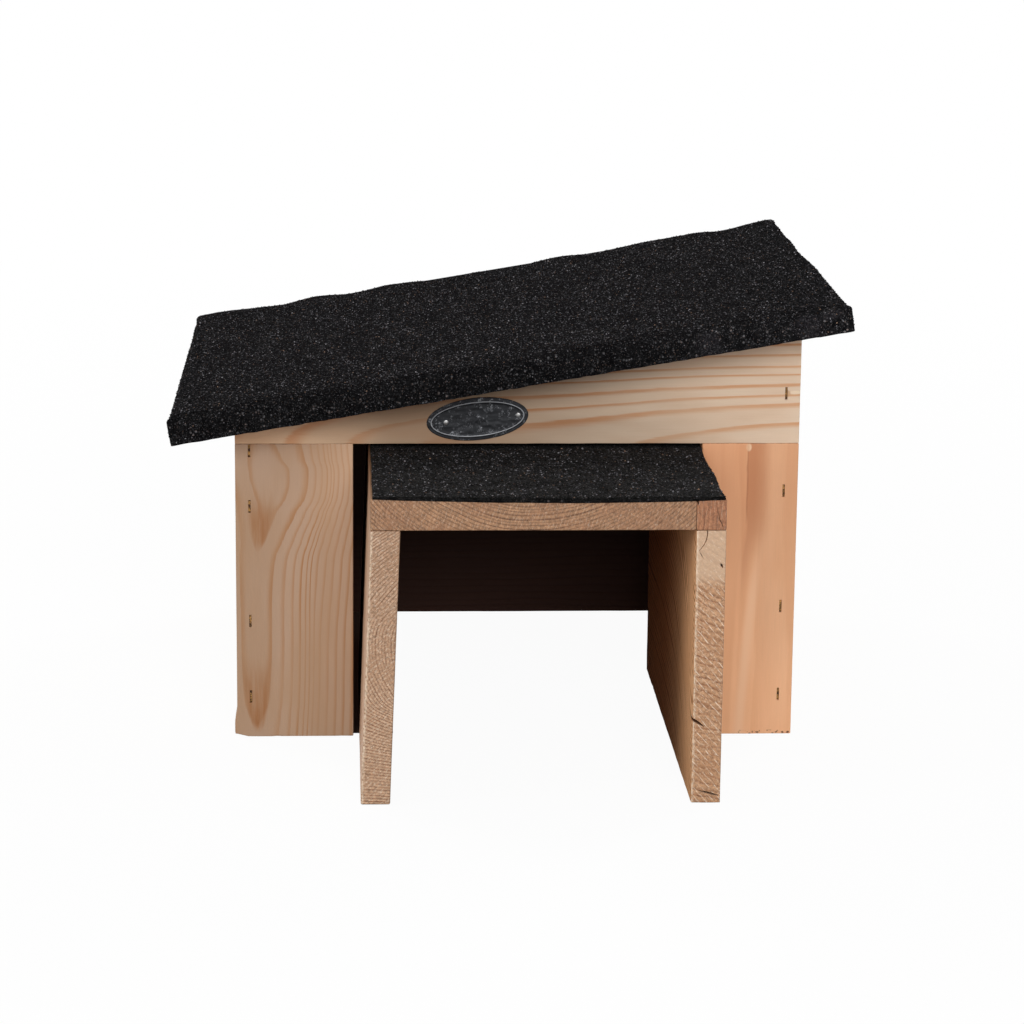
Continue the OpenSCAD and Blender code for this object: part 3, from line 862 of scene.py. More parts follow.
# A node and its piece, how the board lies, its pith, rings and seed, and its mesh's step and seed
LID_BOARDS = [
    ("roof_front_board", "deck_front_board", X, Y, 40.0, -12.0, 4.4, 1.3, 30.0, 6.0, 40),
    ("roof_middle_board", "deck_middle_board", X, Y, 90.0, 30.0, 4.4, 1.3, 31.0, 6.0, 41),
    ("roof_rear_board", "deck_rear_board", X, Y, 62.0, -20.0, 4.4, 1.3, 32.0, 6.0, 42),
    ("left_batten", "left_batten_rail", Y, X, 12.0, -30.0, 3.4, 0.8, 50.0, 4.0, 60),
    ("right_batten", "right_batten_rail", Y, X, 50.0, -10.0, 3.4, 0.8, 51.0, 4.0, 61),
]
for node, name, along, across, across_at, deep_at, width, wander, figure_seed, step, seed in LID_BOARDS:
    material = pine(
        "pine_" + node, LID, extent(node, LID)[0], along, across, Z, ROUGH,
        pith_across=across_at, pith_through=deep_at, ring_width=width, ring_contrast=0.9,
        wander=wander, seed=figure_seed
    )
    board(name, node, "roof", material, place=LID, step=step, seed=seed)


def sawn_front(angle, amount, spacing, seed, from_top=None, face=(1.0, 1.0, 1.0), tufts=0.0,
               fuzzy_edge=None):
    """Adds saw marks to a tunnel board's sawn end, slanting by an angle from level. A fuzzy edge
    has a lean, in millimetres sideways for each one down, and the height where it begins"""

    def add(w, colour, height, sides, end):
        across, through = sides[1:]
        cos, sin = math.cos(math.radians(angle)), math.sin(math.radians(angle))
        strength = end * amount
        if from_top is not None:
            strength = strength * w.rise(across, from_top + 6, from_top - 4)
        aged = w.tint(colour, face(w, sides) if callable(face) else face)
        colour = w.mix(end, colour, aged)
        if from_top is not None:
            smooth_part = end * w.rise(across, from_top - 6, from_top + 4)
            colour = w.mix(smooth_part * 0.7, colour, srgb(194, 165, 138))
        marks = in_group(
            w, saw_marks, color=colour, across_marks=across * cos + through * -sin,
            along_marks=across * sin + through * cos, spacing=spacing, amount=strength,
            seed=seed, tufts=end * tufts
        )
        if not fuzzy_edge:
            return marks["Color"], height + marks["Height"] * (strength * 1.2)
        lean, top = fuzzy_edge
        inset = through + (top - across) * lean
        ragged = w.noise((across * 0.35, through, seed), 3.0, 0.7)
        fuzz = end * w.rise(inset, 2.4, 0.2) * w.rise(ragged, 0.4, 0.55, 0.0, 0.75)
        return w.mix(fuzz, marks["Color"], srgb(222, 202, 178)), height

    return add


def left_wall_rings(w, sides):
    """Rings on the left wall's sawn end: they rise to the right at the top, stand upright lower
    down and lie nearly level at the foot"""
    up, across = sides[1], sides[2]
    lean = w.curve(up, [
        (0, 0.05), (27, 0.17), (52, 0.42), (70.6, 0.87), (102, 1.0), (127, 0.75), (171, 0.64)
    ])
    rise = w.curve(up, [(0, 0), (27, 27), (52, 50.7), (70.6, 63.7), (102, 71.6), (127, 62), (171, 28)])
    return (lean * across + rise + 20.0) / 1.9


def left_wall_tint(w, sides):
    """The left wall's sawn end is a little darker towards its top"""
    return w.mix(w.rise(sides[1], 20.0, 160.0), (0.84, 0.80, 0.755), (0.735, 0.70, 0.66))


def right_wall_pith(w, sides):
    """How high the right wall's rings are centred: another height in its inside than in its end"""
    return w.curve(sides[0], [
        (0, 230), (1.2, 230), (1.6, 70), (45, 118), (100, 150), (160, 162), (300, 170)
    ])


TUNNEL_NODES = ("tunnel_left_wall", "tunnel_right_wall", "tunnel_top_board", "tunnel_top_strip")
left_box, right_box, top_box, strip_box = (extent(node, HOUSE) for node in TUNNEL_NODES)
WALL_BOARD, WALL_TOP = 18, 170.5
left_wall_pine = pine(
    "pine_tunnel_left", HOUSE, (left_box[1][0] - WALL_BOARD, left_box[0][1], 0), Y, Z, X, ROUGH,
    extra=sawn_front(angle=40, amount=0.35, spacing=2.6, seed=4.0, face=left_wall_tint,
                     tufts=0.55, fuzzy_edge=(0.0349, WALL_TOP)), relief=0.25,
    ring_contrast=1.05, seed=71.0, rings=left_wall_rings, rings_given=1.0
)
right_wall_pine = pine(
    "pine_tunnel_right", HOUSE, (right_box[0][0], right_box[0][1], 0), Y, Z, X, ROUGH,
    extra=sawn_front(angle=-48, amount=1.0, spacing=3.5, seed=9.0, face=(0.85, 0.72, 0.58),
                     from_top=140.0, tufts=0.4, fuzzy_edge=(0.0, WALL_TOP)), relief=0.25,
    # Painted light on the inner face near the tunnel's mouth, fading to painted shade deep inside
    inside=(LEFTWARD, (1.9, 1.63, 1.25), (0.87, 0.49, 0.27)), pith_across=right_wall_pith,
    pith_through=lambda w, s: w.rise(s[0], 1.2, 1.6, 60.0, 15.0),
    ring_contrast=lambda w, s: w.rise(s[0], 1.2, 1.6, 0.8, 1.5),
    ring_width=4.2, wander=1.4, seed=74.0
)
top_pine = pine(
    "pine_tunnel_top", HOUSE, (0, top_box[0][1], top_box[1][2]), Y, X, Z, TAWNY,
    extra=sawn_front(angle=20, amount=0.3, spacing=2.0, seed=2.0, tufts=0.25), relief=0.25,
    pith_across=2.0, pith_through=90.0, ring_width=2.1, ring_contrast=0.95, wander=0.7, seed=77.0
)
strip_pine = pine(
    "pine_tunnel_strip", HOUSE, strip_box[0], Y, X, Z, RUSSET,
    extra=sawn_front(angle=4, amount=0.35, spacing=2.4, seed=6.0), relief=0.2,
    pith_across=-40.0, pith_through=8.0, ring_width=2.6, ring_contrast=0.7, wander=0.3, seed=79.0
)
# Splits are runs of (x, z, width) places
RIGHT_WALL_SPLITS = [
    [(106.5, 172.5, 0.5), (106.2, 168, 0.6), (105.6, 164.5, 0.5), (103.9, 161, 0.4), (101.4, 158, 0.3)],
    [(101.7, 157.6, 0.2), (102.9, 155.4, 0.4), (104.3, 152.8, 0.1)],
    [(114.6, 150.2, 0.5), (115.2, 149, 1.6), (115.9, 147.5, 0.4)],
    [(98.6, 53.9, 0.9), (101, 52.2, 1.9), (104, 50.2, 1.6), (107, 48.3, 0.3)],
    [(103.8, 7.9, 0.3), (108, 7.0, 1.2), (113, 5.6, 1.4), (116.7, 4.6, 0.8)],
]
STRIP_SPLITS = [
    [(112.4, 185.0, 0.1), (112.2, 182.0, 0.3), (113.1, 179.5, 0.2), (113.6, 176.5, 0.45),
     (115.1, 174.0, 0.4), (115.4, 172.2, 0.2)],
    [(99.0, 189.6, 1.5), (100.4, 187.6, 0.9), (100.6, 185.6, 0.2)],
]


def felt_hang(x):
    """How far the tunnel felt's front edge hangs below the top board; below 0 it is lifted"""
    low, high = extent("tunnel_felt", HOUSE)
    share = (x - low[0]) / (high[0] - low[0])
    return np.interp(share, [0, 0.1, 0.35, 0.6, 0.85, 1], [-1.4, -0.6, 0.8, 1.2, 0.5, -0.7])


def set_back(points):
    """The sawn front stands a little behind the felt that hangs over it, and fills its lift"""
    (_, front, _), (_, _, top) = top_box
    near = smooth_step(front + 6, front, points[:, 1])
    points[:, 1] += 0.9 * near
    at_top = smooth_step(top - 3, top - 1, points[:, 2])
    points[:, 2] += near * at_top * np.maximum(-felt_hang(points[:, 0]), 0)
    return points


board("tunnel_left_side", "tunnel_left_wall", "tunnel", left_wall_pine, edge=1.3,
      step=3.0, wear=0.12, seed=80)
board("tunnel_right_side", "tunnel_right_wall", "tunnel", right_wall_pine, edge=1.0,
      step=3.0, wear=0.12, seed=81, cracks=RIGHT_WALL_SPLITS)
board("tunnel_top_plank", "tunnel_top_board", "tunnel", top_pine, step=3.0,
      wear=0.1, seed=82, shaped=set_back)
board("tunnel_edge_strip", "tunnel_top_strip", "tunnel", strip_pine, step=3.0,
      wear=0.1, seed=83, cracks=STRIP_SPLITS, shaped=set_back)


def picked(w, kind, items):
    """One of several values, by each point's number"""
    switch = w.made("GeometryNodeIndexSwitch", data_type=kind)
    while len(switch.index_switch_items) < len(items):
        switch.index_switch_items.new()
    for number, item in enumerate([w.node("GeometryNodeInputIndex"), *items]):
        w.feed(switch.inputs[number], item)
    return Value(w, switch.outputs[0])


def path_through(w, points):
    """A curve through the given points, which may depend on the tree's inputs"""
    line = w.node("GeometryNodeMeshLine", ("Count", len(points)))
    line = w.node("GeometryNodeSetPosition", line, ("Position", picked(w, "VECTOR", points)))
    return w.node("GeometryNodeMeshToCurve", line)


def swept(w, curve, outline, *more):
    """An outline drawn along a curve and closed at both ends"""
    inputs = ("Profile Curve", outline), ("Fill Caps", True)
    return w.node("GeometryNodeCurveToMesh", curve, *inputs, *more)


def turned(w, profile, sides):
    """A closed shape turned on a lathe from (radius, height) places, lowest first"""
    curve = path_through(w, [w.vector(0.0, 0.0, height) for radius, height in profile])
    radii = picked(w, "FLOAT", [radius for radius, height in profile])
    circle = w.node("GeometryNodeCurvePrimitiveCircle", ("Resolution", sides), ("Radius", 1.0))
    shaped = w.node("GeometryNodeSetCurveRadius", curve, ("Radius", radii))
    return swept(w, shaped, circle, ("Scale", radii))


def set_on(w, given, points, shape, *more):
    """A shape at every point, as plain mesh in the tree's material"""
    placed = w.node("GeometryNodeInstanceOnPoints", points, ("Instance", shape), *more)
    real = w.node("GeometryNodeRealizeInstances", placed)
    return dict(Geometry=w.node("GeometryNodeSetMaterial", real, ("Material", given.material)))


def aimed(w, given, shape):
    """A shape at every point, aimed along the point's own direction"""
    aim = w.node("GeometryNodeInputNamedAttribute", ("Name", "aim"), data_type="FLOAT_VECTOR")
    turn = w.node("FunctionNodeAlignRotationToVector", ("Vector", aim), axis="Z")
    return set_on(w, given, given.geometry, shape, ("Rotation", turn))


@group_of(
    "GeometryNodeTree", "grit_on_surface", geometry="Geometry", density=100000.0,
    grain_size=0.0004, seed=1, material="Material"
)
def grit(w, given):
    """Angular grains strewn over a surface and half sunk in it, each with its own tint"""

    def random(low, high, seed):
        return w.node("FunctionNodeRandomValue", (2, low), (3, high), ("Seed", seed), out=1)

    amount = ("Density", given.density), ("Seed", given.seed)
    strewn = w.node("GeometryNodeDistributePointsOnFaces", given.geometry, *amount)
    for name, seed in ("tint", 11), ("hue", 12):
        strewn = w.node(
            "GeometryNodeStoreNamedAttribute", strewn, ("Name", name),
            ("Value", random(0.0, 1.0, seed)), data_type="FLOAT", domain="POINT"
        )
    shape = ("Segments", 3), ("Rings", 2), ("Radius", given.grain_size)
    turn = w.vector(*(random(0.0, 6.28, seed) for seed in (21, 22, 23)))
    size = random(0.55, 1.35, 24)
    grain = w.node("GeometryNodeMeshUVSphere", *shape)
    return set_on(w, given, strewn, grain, ("Rotation", turn), ("Scale", w.vector(size, size, size)))


@group_of(
    "GeometryNodeTree", "nails_on_points", geometry="Geometry", head_radius=0.004,
    head_height=0.0009, shank_radius=0.0012, length=0.014, material="Material"
)
def nails(w, given):
    """A nail with its head's top at the origin, pointing down"""
    head, height = given.head_radius, given.head_height
    shank, length = given.shank_radius, given.length
    profile = [
        (shank * 0.15, length * -1.0), (shank, shank * 2.5 - length), (shank, height * -1.05),
        (head * 0.96, height * -1.0), (head, height * -0.75), (head * 0.97, height * -0.35),
        (head * 0.8, height * -0.1), (head * 0.4, 0.0)
    ]
    return aimed(w, given, turned(w, profile, 20))


@group_of(
    "GeometryNodeTree", "screws_on_points", geometry="Geometry", head_radius=0.0023,
    head_depth=0.0011, shank_radius=0.0012, length=0.014, material="Material"
)
def screws(w, given):
    """A countersunk screw with a cross recess, its head's top at the origin"""
    head, depth = given.head_radius, given.head_depth
    shank, length = given.shank_radius, given.length
    profile = [
        (shank * 0.15, length * -1.0), (shank * 0.95, shank * 2.5 - length), (shank, depth * -1.0),
        (head * 0.97, depth * -0.12), (head, depth * -0.02), (head * 0.9, 0.0)
    ]
    bar = w.node("GeometryNodeMeshCube", w.vector(head * 1.15, head * 0.24, depth * 1.3))
    other = w.node("GeometryNodeTransform", bar, ("Rotation", (0.0, 0.0, math.pi / 2)))
    cut = (1, bar), (1, other)
    body = turned(w, profile, 24)
    return aimed(w, given, w.node("GeometryNodeMeshBoolean", body, *cut, operation="DIFFERENCE"))


@group_of(
    "GeometryNodeTree", "staples_on_points", geometry="Geometry", crown=0.008, leg=0.028,
    wire_width=0.0013, wire_thickness=0.001, material="Material"
)
def staples(w, given):
    """A wire staple: the crown's outer side at the origin along local Y, legs pointing down"""
    wire = given.wire_thickness
    half, top = (given.crown - wire) * 0.5, wire * -0.5
    other, foot = half * -1.0, top - given.leg
    places = (other, foot), (other, top), (half, top), (half, foot)
    curve = path_through(w, [w.vector(0.0, side, height) for side, height in places])
    bend = ("Count", 3), ("Radius", wire * 0.75)
    bent = w.node("GeometryNodeFilletCurve", curve, *bend, mode="POLY")
    size = ("Width", given.wire_width), ("Height", wire)
    return aimed(w, given, swept(w, bent, w.node("GeometryNodeCurvePrimitiveQuadrilateral", *size)))


def grow(piece, tree, **inputs):
    """Runs a geometry tree on the piece and keeps the plain mesh"""
    modifier = piece.modifiers.new("grow", "NODES")
    modifier.node_group = tree
    sockets = [item for item in tree.interface.items_tree if item.in_out == "INPUT"]
    named = {socket.name: socket.identifier for socket in sockets}
    for key, value in inputs.items():
        modifier[named[label(key)]] = value
    settled(piece)


def scuff_and_highlight_mask(w, place, marks):
    """Where the lid's felt has been rubbed or creased, and painted highlights that stand for light
    on its ripples behind the front fold: soft ellipsoids, each given by its middle, its half
    sizes and its turn in degrees"""
    total = 0.0
    for middle, half, turn_degrees in marks:
        spot = LID @ Matrix.Translation(middle) @ Matrix.Rotation(math.radians(turn_degrees), 4, "Z")
        runs = [
            measured(w, place, spot.translation, spot.to_3x3() @ Vector(axis)) / size
            for axis, size in zip((X, Y, Z), half)
        ]
        total = w.rise(w.length(*runs), 1.0, 0.35) + total
    return w.math("MINIMUM", total, 1.0)


@group_of(
    "ShaderNodeTree", "fold_shade", color=(0.5, 0.5, 0.5, 1.0), place=(0.0, 0.0, 0.0)
)
def fold_shade(w, given):
    """The lid's felt is darker where it turns down in front, and darkest along the crease"""
    origin, turn = LID @ Vector((0, -50, 0)), LID.to_3x3()
    along, back = (measured(w, given.place, origin, turn @ Vector(axis)) for axis in (X, Y))
    uneven = w.noise((along * 0.03, back * 0.1, 5.0), 3.0, 0.6)
    back = (uneven - 0.5) * 7.0 + back
    turned_down = w.rise(back, 14.5, 11.0) * w.rise(along, 150.0, 50.0, 0.0, 0.3)
    crease = w.rise(abs(back - 12.0), 3.4, 0.8) * 0.46
    return dict(Color=w.tint(given.color, 1.0 - w.math("MAXIMUM", turned_down, crease)))


@group_of(
    "ShaderNodeTree", "front_shade", color=(0.5, 0.5, 0.5, 1.0), place=(0.0, 0.0, 0.0)
)
def front_shade(w, given):
    """The tunnel's felt shows its black core where it is cut in front"""
    back = measured(w, given.place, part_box("tunnel_felt")[0], Y)
    return dict(Color=w.tint(given.color, w.rise(back, 0.8, 5.0, 0.34, 1.0)))


def felt_material(name, seed, shading, marks=(), **shades):
    """Mineral felt for one sheet, with a group that shades it"""
    material, w = new_material(name)
    place = object_place(w)
    scuff = scuff_and_highlight_mask(w, place, marks) if marks else 0.0
    felt = in_group(w, mineral_felt, place=place, seed=seed, scuff=scuff, **shades)
    shaded = in_group(w, shading, color=felt["Color"], place=place)
    dress(w, 0.35, felt["Height"], Base_Color=shaded["Color"], Roughness=felt["Roughness"],
          Specular_IOR_Level=0.0)
    return material


# Where a grey begins, from 0 to 1, and what it is
GRIT_SHADES = [
    (0.0, (12, 12, 13)), (0.34, (32, 32, 33)), (0.74, (68, 67, 70)), (0.93, (102, 100, 104)),
    (0.985, (122, 120, 124)), (1.0, (158, 156, 160))
]


def grit_material(name, folded=False):
    """Slate grit: each grain has its own grey, a few are pale and a few are tan"""
    material, w = new_material(name)
    tint = w.node("ShaderNodeAttribute", out="Fac", attribute_name="tint")
    hue = w.node("ShaderNodeAttribute", out="Fac", attribute_name="hue")
    ramp = w.made("ShaderNodeValToRGB", tint)
    stops = ramp.color_ramp.elements
    for number, (place, shade) in enumerate(GRIT_SHADES):
        stop = stops[number] if number < 2 else stops.new(place)
        stop.position = place
        stop.color = srgb(*shade)
    grey = Value(w, ramp.outputs[0])
    colour = w.mix(w.rise(hue, 0.86, 0.9), grey, w.tint(grey, srgb(255, 214, 178)))
    if folded:
        colour = in_group(w, fold_shade, color=colour, place=object_place(w))["Color"]
    dress(w, Base_Color=colour, Roughness=0.85, Specular_IOR_Level=0.0)
    return material


def gritted(name, points, quads, place, body, material, **amounts):
    """Loose grit set in a felt's surface, as one piece; density is grains to the square metre"""
    piece = solid(name, points, quads, place)
    grow(piece, grit, material=material, **amounts)
    piece.data.polygons.foreach_set("use_smooth", [False] * len(piece.data.polygons))
    put(piece, body)


# Middles, half sizes and turns of the rubbed places, in the lid's frame; the first two are
# painted highlights on ripples behind the front fold
LID_SCUFFS_AND_HIGHLIGHTS = [
    ((-163, -18, 17.4), (13, 1.6, 3), 6),
    ((186, -24, 17.4), (15, 2.2, 3), -14),
    ((118, -50, 7), (11, 4, 12), 0),
    ((181, -50, 8), (14, 4, 13), 0),
    ((196, -50, 14), (9, 4, 6), 0),
]
# The felt's waves at the rear and its kinks at the right end: places along, and heights there
CRESTS = [-219, -200, -155, -129, -106, -73, -35, -10, 13, 49, 76, 120, 152, 169, 200, 210]
LEVELS = [-0.3, 0.5, -0.9, 0.8, -0.5, 0.9, -0.7, -0.1, -0.8, 0.9, -0.9, 0.6, 0.8, -0.8, 0.5, -0.2]
KINKS = [-60, 40, 90, 118, 150, 196, 240, 262, 300, 340]
KINK_STEPS = [0.0, -0.2, 0.5, 0.9, 0.1, -0.6, 0.6, -0.4, 0.5, 0.0]


def waves(u):
    """The waves of the lid's felt between the nails behind, along its rear edge"""
    crests, levels = np.array(CRESTS, float), np.array(LEVELS)
    after = np.clip(np.searchsorted(CRESTS, u), 1, len(crests) - 1)
    share = smooth_step(0, 1, (u - crests[after - 1]) / (crests[after] - crests[after - 1]))
    return levels[after - 1] + share * (levels[after] - levels[after - 1])


def lid_felt():
    """The lid's felt: one sheet folded over all four edges, quilted where it is nailed behind"""
    low, high = extent("roof_felt", LID)
    thick = abs(low[0] - extent("roof_front_board", LID)[0][0])
    fold = 6.0
    rise = [low[2] + t for t in (0, 1.2, 2.6, 4.6, 6.8, 9.0)]
    rise += [high[2] - t for t in (fold, 0.62 * fold, 0.3 * fold, 0)]
    outer, quads = skin(*(ticks(low[i], high[i], fold, 3.0) for i in range(2)), rise, open_below=True)
    deep_low = np.array([low[0], low[1], low[2] - 4 * fold])
    off_u = np.minimum(outer[:, 0] - low[0], high[0] - outer[:, 0])
    off_v = np.minimum(outer[:, 1] - low[1], high[1] - outer[:, 1])
    corner = smooth_step(14, 4, off_u) * smooth_step(14, 4, off_v)
    radius = fold + 0.7 * drift(outer, 40, 3) - 3.0 * corner
    rounded, out = eased(outer, deep_low, high, radius)
    u, v, s = rounded[:, 0], rounded[:, 1], rounded[:, 2]
    near_rear = smooth_step(high[1] - 150, high[1] - 6, v)
    on_top = smooth_step(high[2] - fold, high[2] - 0.5, s)
    middle = (u - (low[0] + high[0]) / 2) / (high[0] - low[0])
    sag = -1.6 * np.cos(np.pi * middle) + 0.35
    rounded[:, 2] += on_top * near_rear * np.maximum(1.25 * waves(u) + sag + 0.15, -1.95)
    right_edge = smooth_step(high[0] - 12, high[0], u)
    rounded[:, 2] += right_edge * on_top * np.interp(v, KINKS, KINK_STEPS)
    rounded[:, 0] += right_edge * np.interp(v, KINKS, KINK_STEPS) * 0.7
    rounded[:, 2] += on_top * (0.28 * drift(rounded, 60, 5) + 0.16 * drift(rounded, 17, 6) - 0.3)
    grain = 0.10 * drift(rounded, 3.1, 7) + 0.10 * drift(rounded, 6.5, 8) - 0.12
    rounded += out * grain[:, None]
    behind_fold = np.exp(-(((v - low[1] - 13) / 6.5) ** 2)) * smooth_step(-150, 40, u)
    rounded[:, 2] -= 1.15 * on_top * behind_fold * (0.75 + 0.5 * drift(rounded, 55, 11))
    pulled = smooth_step(low[0] + 60, low[0], u) * (high[1] - v) / (high[1] - low[1])
    rounded[:, 0] -= 2.6 * pulled
    skirt = smooth_step(low[2] + 9, low[2], s)
    rounded[:, 1] += skirt * (v < low[1] + 4) * (0.5 + 0.5 * drift(rounded, 34, 9))
    rim = s < low[2] + 0.01
    rounded[rim, 2] += 0.35 + 0.35 * drift(rounded[rim], 4.0, 10)
    shrink = thick - 0.02
    inner = np.clip(outer, [low[0] + shrink, low[1] + shrink, low[2]], high - shrink)
    inner[rim, 2] = rounded[rim, 2]
    count = len(outer)
    faces = quads + [tuple(count + i for i in reversed(quad)) for quad in quads]
    edges = {(a, b): None for quad in quads for a, b in zip(quad, quad[1:] + quad[:1])}
    faces += [(b, a, count + a, count + b) for a, b in edges if (b, a) not in edges]
    piece = solid("lid_felt", np.vstack([rounded, inner]), faces, LID, sharp_degrees=50)
    material = felt_material("felt_lid", 3.0, fold_shade, LID_SCUFFS_AND_HIGHLIGHTS)
    put(piece, "roof", ["roof_felt"], material)
    hinges = [extent(side + "_hinge_moving_leaf", LID) for side in ("left", "right")]
    bare = []
    for quad in quads:
        x, y, z = outer[list(quad)].mean(0)
        by_hinge = any(start[0] - 2 < x < end[0] + 2 for start, end in hinges)
        if z > low[2] + 1.5 and not (y > high[1] - 3 and by_hinge):
            bare.append(quad)
    gritted("lid_grit", rounded, bare, LID, "roof", grit_material("slate_grit_lid", True),
            density=125000.0, grain_size=0.00053, seed=8)


def tunnel_felt_sheet():
    """The tunnel's felt: cut by hand, so its edges wander, and pressed down at the front"""
    low, high = extent("tunnel_felt", HOUSE)
    sides = [ticks(low[i], high[i], 0.9, 2.4) for i in range(2)]
    thick = high[2] - low[2]
    sides.append([low[2] + t * thick for t in (0, 0.12, 0.3, 0.5, 0.7, 0.88, 1.0)])
    points, quads = skin(*sides)
    radius = 0.85 + 0.2 * drift(points, 9, 4)
    points, out = eased(points, low, high, np.minimum(radius, thick / 2))
    x, y = points[:, 0].copy(), points[:, 1].copy()
    right = smooth_step(high[0] - 30, high[0], x)
    left = smooth_step(low[0] + 30, low[0], x)
    front = smooth_step(low[1] + 25, low[1], y)
    wave = 0.7 * np.sin((y - low[1]) / 13.5) * smooth_step(low[1] + 8, low[1] + 40, y)
    points[:, 0] -= right * (0.9 + wave + 0.35 * drift(points, 7, 5))
    points[:, 0] += left * (1.3 + 0.35 * drift(points, 15, 6))
    points[:, 1] += front * (0.25 + 0.25 * drift(points, 8, 7))
    points[:, 2] += 0.25 * drift(points, 22, 8) * (points[:, 2] > low[2] + 0.4 * thick) - 0.25
    points[:, 2] = np.maximum(points[:, 2], low[2])
    points += out * (0.07 * drift(points, 2.2, 9))[:, None]
    seen = [quad for quad in quads if points[list(quad)][:, 2].mean() > low[2] + 0.6 * thick]
    seen = [quad for quad in seen if low[1] + 2.4 < points[list(quad)][:, 1].mean() < 0]
    near = smooth_step(low[1] + 2.9, low[1] + 0.3, y)
    hang = felt_hang(x)
    points[:, 2] -= np.maximum(hang, 0) * near
    points[:, 2] = np.maximum(points[:, 2], low[2] - hang * near)
    gritted("tunnel_grit", points, seen, HOUSE, "tunnel", grit_material("slate_grit_tunnel"),
            density=120000.0, grain_size=0.00062, seed=11)
    piece = solid("tunnel_felt_sheet", points, quads, HOUSE, sharp_degrees=50)
    # Painted light: the tunnel's felt gets a paler bitumen and dust than the lid's, to make up for the
    # shade it lies in
    shades = dict(bitumen=srgb(22, 22, 22), dust=srgb(54, 53, 52))
    material = felt_material("felt_tunnel", 8.0, front_shade, **shades)
    put(piece, "tunnel", ["tunnel_felt"], material)


lid_felt()
tunnel_felt_sheet()


def grown(name, tree, places, body, slot_name, replaced, material, place, **sizes):
    """Grows a tree on points, each with its own direction, and puts the piece on its body"""
    turn = place.to_3x3()
    mesh = bpy.data.meshes.new(name)
    mesh.from_pydata([tuple(place @ Vector(spot)) for spot, aim in places], [], [])
    aims = mesh.attributes.new("aim", "FLOAT_VECTOR", "POINT")
    for number, (spot, aim) in enumerate(places):
        aims.data[number].vector = (turn @ Vector(aim)).normalized()
    piece = in_scene(name, mesh)
    grow(piece, tree, material=material, **sizes)
    smooth(facing_out(piece, weld=2e-6), 40)
    put(piece, body, replaced)


def fastener_places(node, place, centre):
    """Head tops and directions of a node's fasteners: each points away from the middle"""
    places = []
    for low, high in separate_solids(node, place):
        middle = (low + high) / 2
        axis = int(np.argmax(high - low))
        outwards = 1.0 if middle[axis] > centre[axis] else -1.0
        top, aim = middle.copy(), np.zeros(3)
        top[axis] = high[axis] if outwards > 0 else low[axis]
        aim[axis] = outwards
        places.append((top, aim))
    return places


rusty_wire = metal("rusty_staple_wire", 0.5, (176, 132, 72), (58, 34, 22), 0.55, 0.35, 0.55)
galvanised = metal("galvanised_nail", 0.85, (168, 170, 172), (120, 118, 114), 0.5, 0.6, 0.42)
zinc = metal("zinc_plate", 0.9, (186, 188, 190), (142, 142, 138), 0.35, 0.25, 0.34, relief=0.02)
wire_steel = metal("bright_nail_steel", 0.9, (160, 160, 160), (96, 84, 72), 0.35, 0.6, 0.38)

STAPLE = dict(crown=0.008, leg=0.027, wire_width=0.0013, wire_thickness=0.001)
CLOUT = dict(head_radius=0.004, head_height=0.0009, shank_radius=0.0012, length=0.014)
SHORT_NAIL = dict(head_radius=0.0017, head_height=0.001, shank_radius=0.0009, length=0.024)
LONG_NAIL = dict(SHORT_NAIL, length=0.04)
SCREW = dict(head_radius=0.0023, head_depth=0.0011, shank_radius=0.0012, length=0.014)
ON_HOUSE, ON_TUNNEL = (HOUSE, HOUSE_MIDDLE), (HOUSE, TUNNEL_MIDDLE)
ON_LID, ON_HINGE = (LID, LID_MIDDLE), (LID, (0.0, 0.0, 0.0))
# A node and its piece or what its name adds, the tree, the frame and middle, the body and slot,
# the material and the sizes
FASTENERS = [
    ("front_staples", "_wire", staples, ON_HOUSE, "house", "rusty_wire", rusty_wire, STAPLE),
    ("back_staples", "_wire", staples, ON_HOUSE, "house", "rusty_wire", rusty_wire, STAPLE),
    ("felt_nails", "felt_clout_nails", nails, ON_LID, "roof", "galvanised_nails", galvanised, CLOUT),
    ("batten_nails", "batten_wire_nails", nails, ON_LID, "roof", "zinc_steel", wire_steel, SHORT_NAIL),
    ("tunnel_nails", "tunnel_wire_nails", nails, ON_TUNNEL, "tunnel", "zinc_steel", wire_steel,
     LONG_NAIL),
    ("hinge_lower_screws", "_cross", screws, ON_HINGE, "house", "zinc_steel", zinc, SCREW),
    ("hinge_upper_screws", "_cross", screws, ON_HINGE, "roof", "zinc_steel", zinc, SCREW),
]
for node, name, tree, (place, middle), body, slot_name, material, sizes in FASTENERS:
    name = node + name if name.startswith("_") else name
    places = fastener_places(node, place, middle)
    grown(name, tree, places, body, slot_name, [node], material, place, **sizes)

for side in ("left", "right"):
    for part in ("fixed_leaf", "pin", "moving_leaf"):
        materials = frame["nodes"][f"{side}_hinge_{part}"].data.materials
        materials.clear()
        materials.append(zinc)

BADGE = (
    HOUSE
    @ Matrix.Translation((-26.0, 0.0, 209.7))
    @ Matrix.Rotation(math.radians(-5.9), 4, "Y")
    @ Matrix.Rotation(math.pi / 2, 4, "X")
)
BADGE_HALF = np.array([32.5, 13.75])
# How far in from the edge, and how high
BADGE_PROFILE = [
    (0.0, 0.0), (0.0, 0.35), (0.12, 0.68), (0.4, 0.88), (0.9, 0.9), (1.8, 0.82), (2.2, 0.95),
    (2.5, 1.22), (2.85, 1.38), (3.15, 1.34), (3.45, 1.1), (3.7, 0.82), (4.2, 0.72)
]


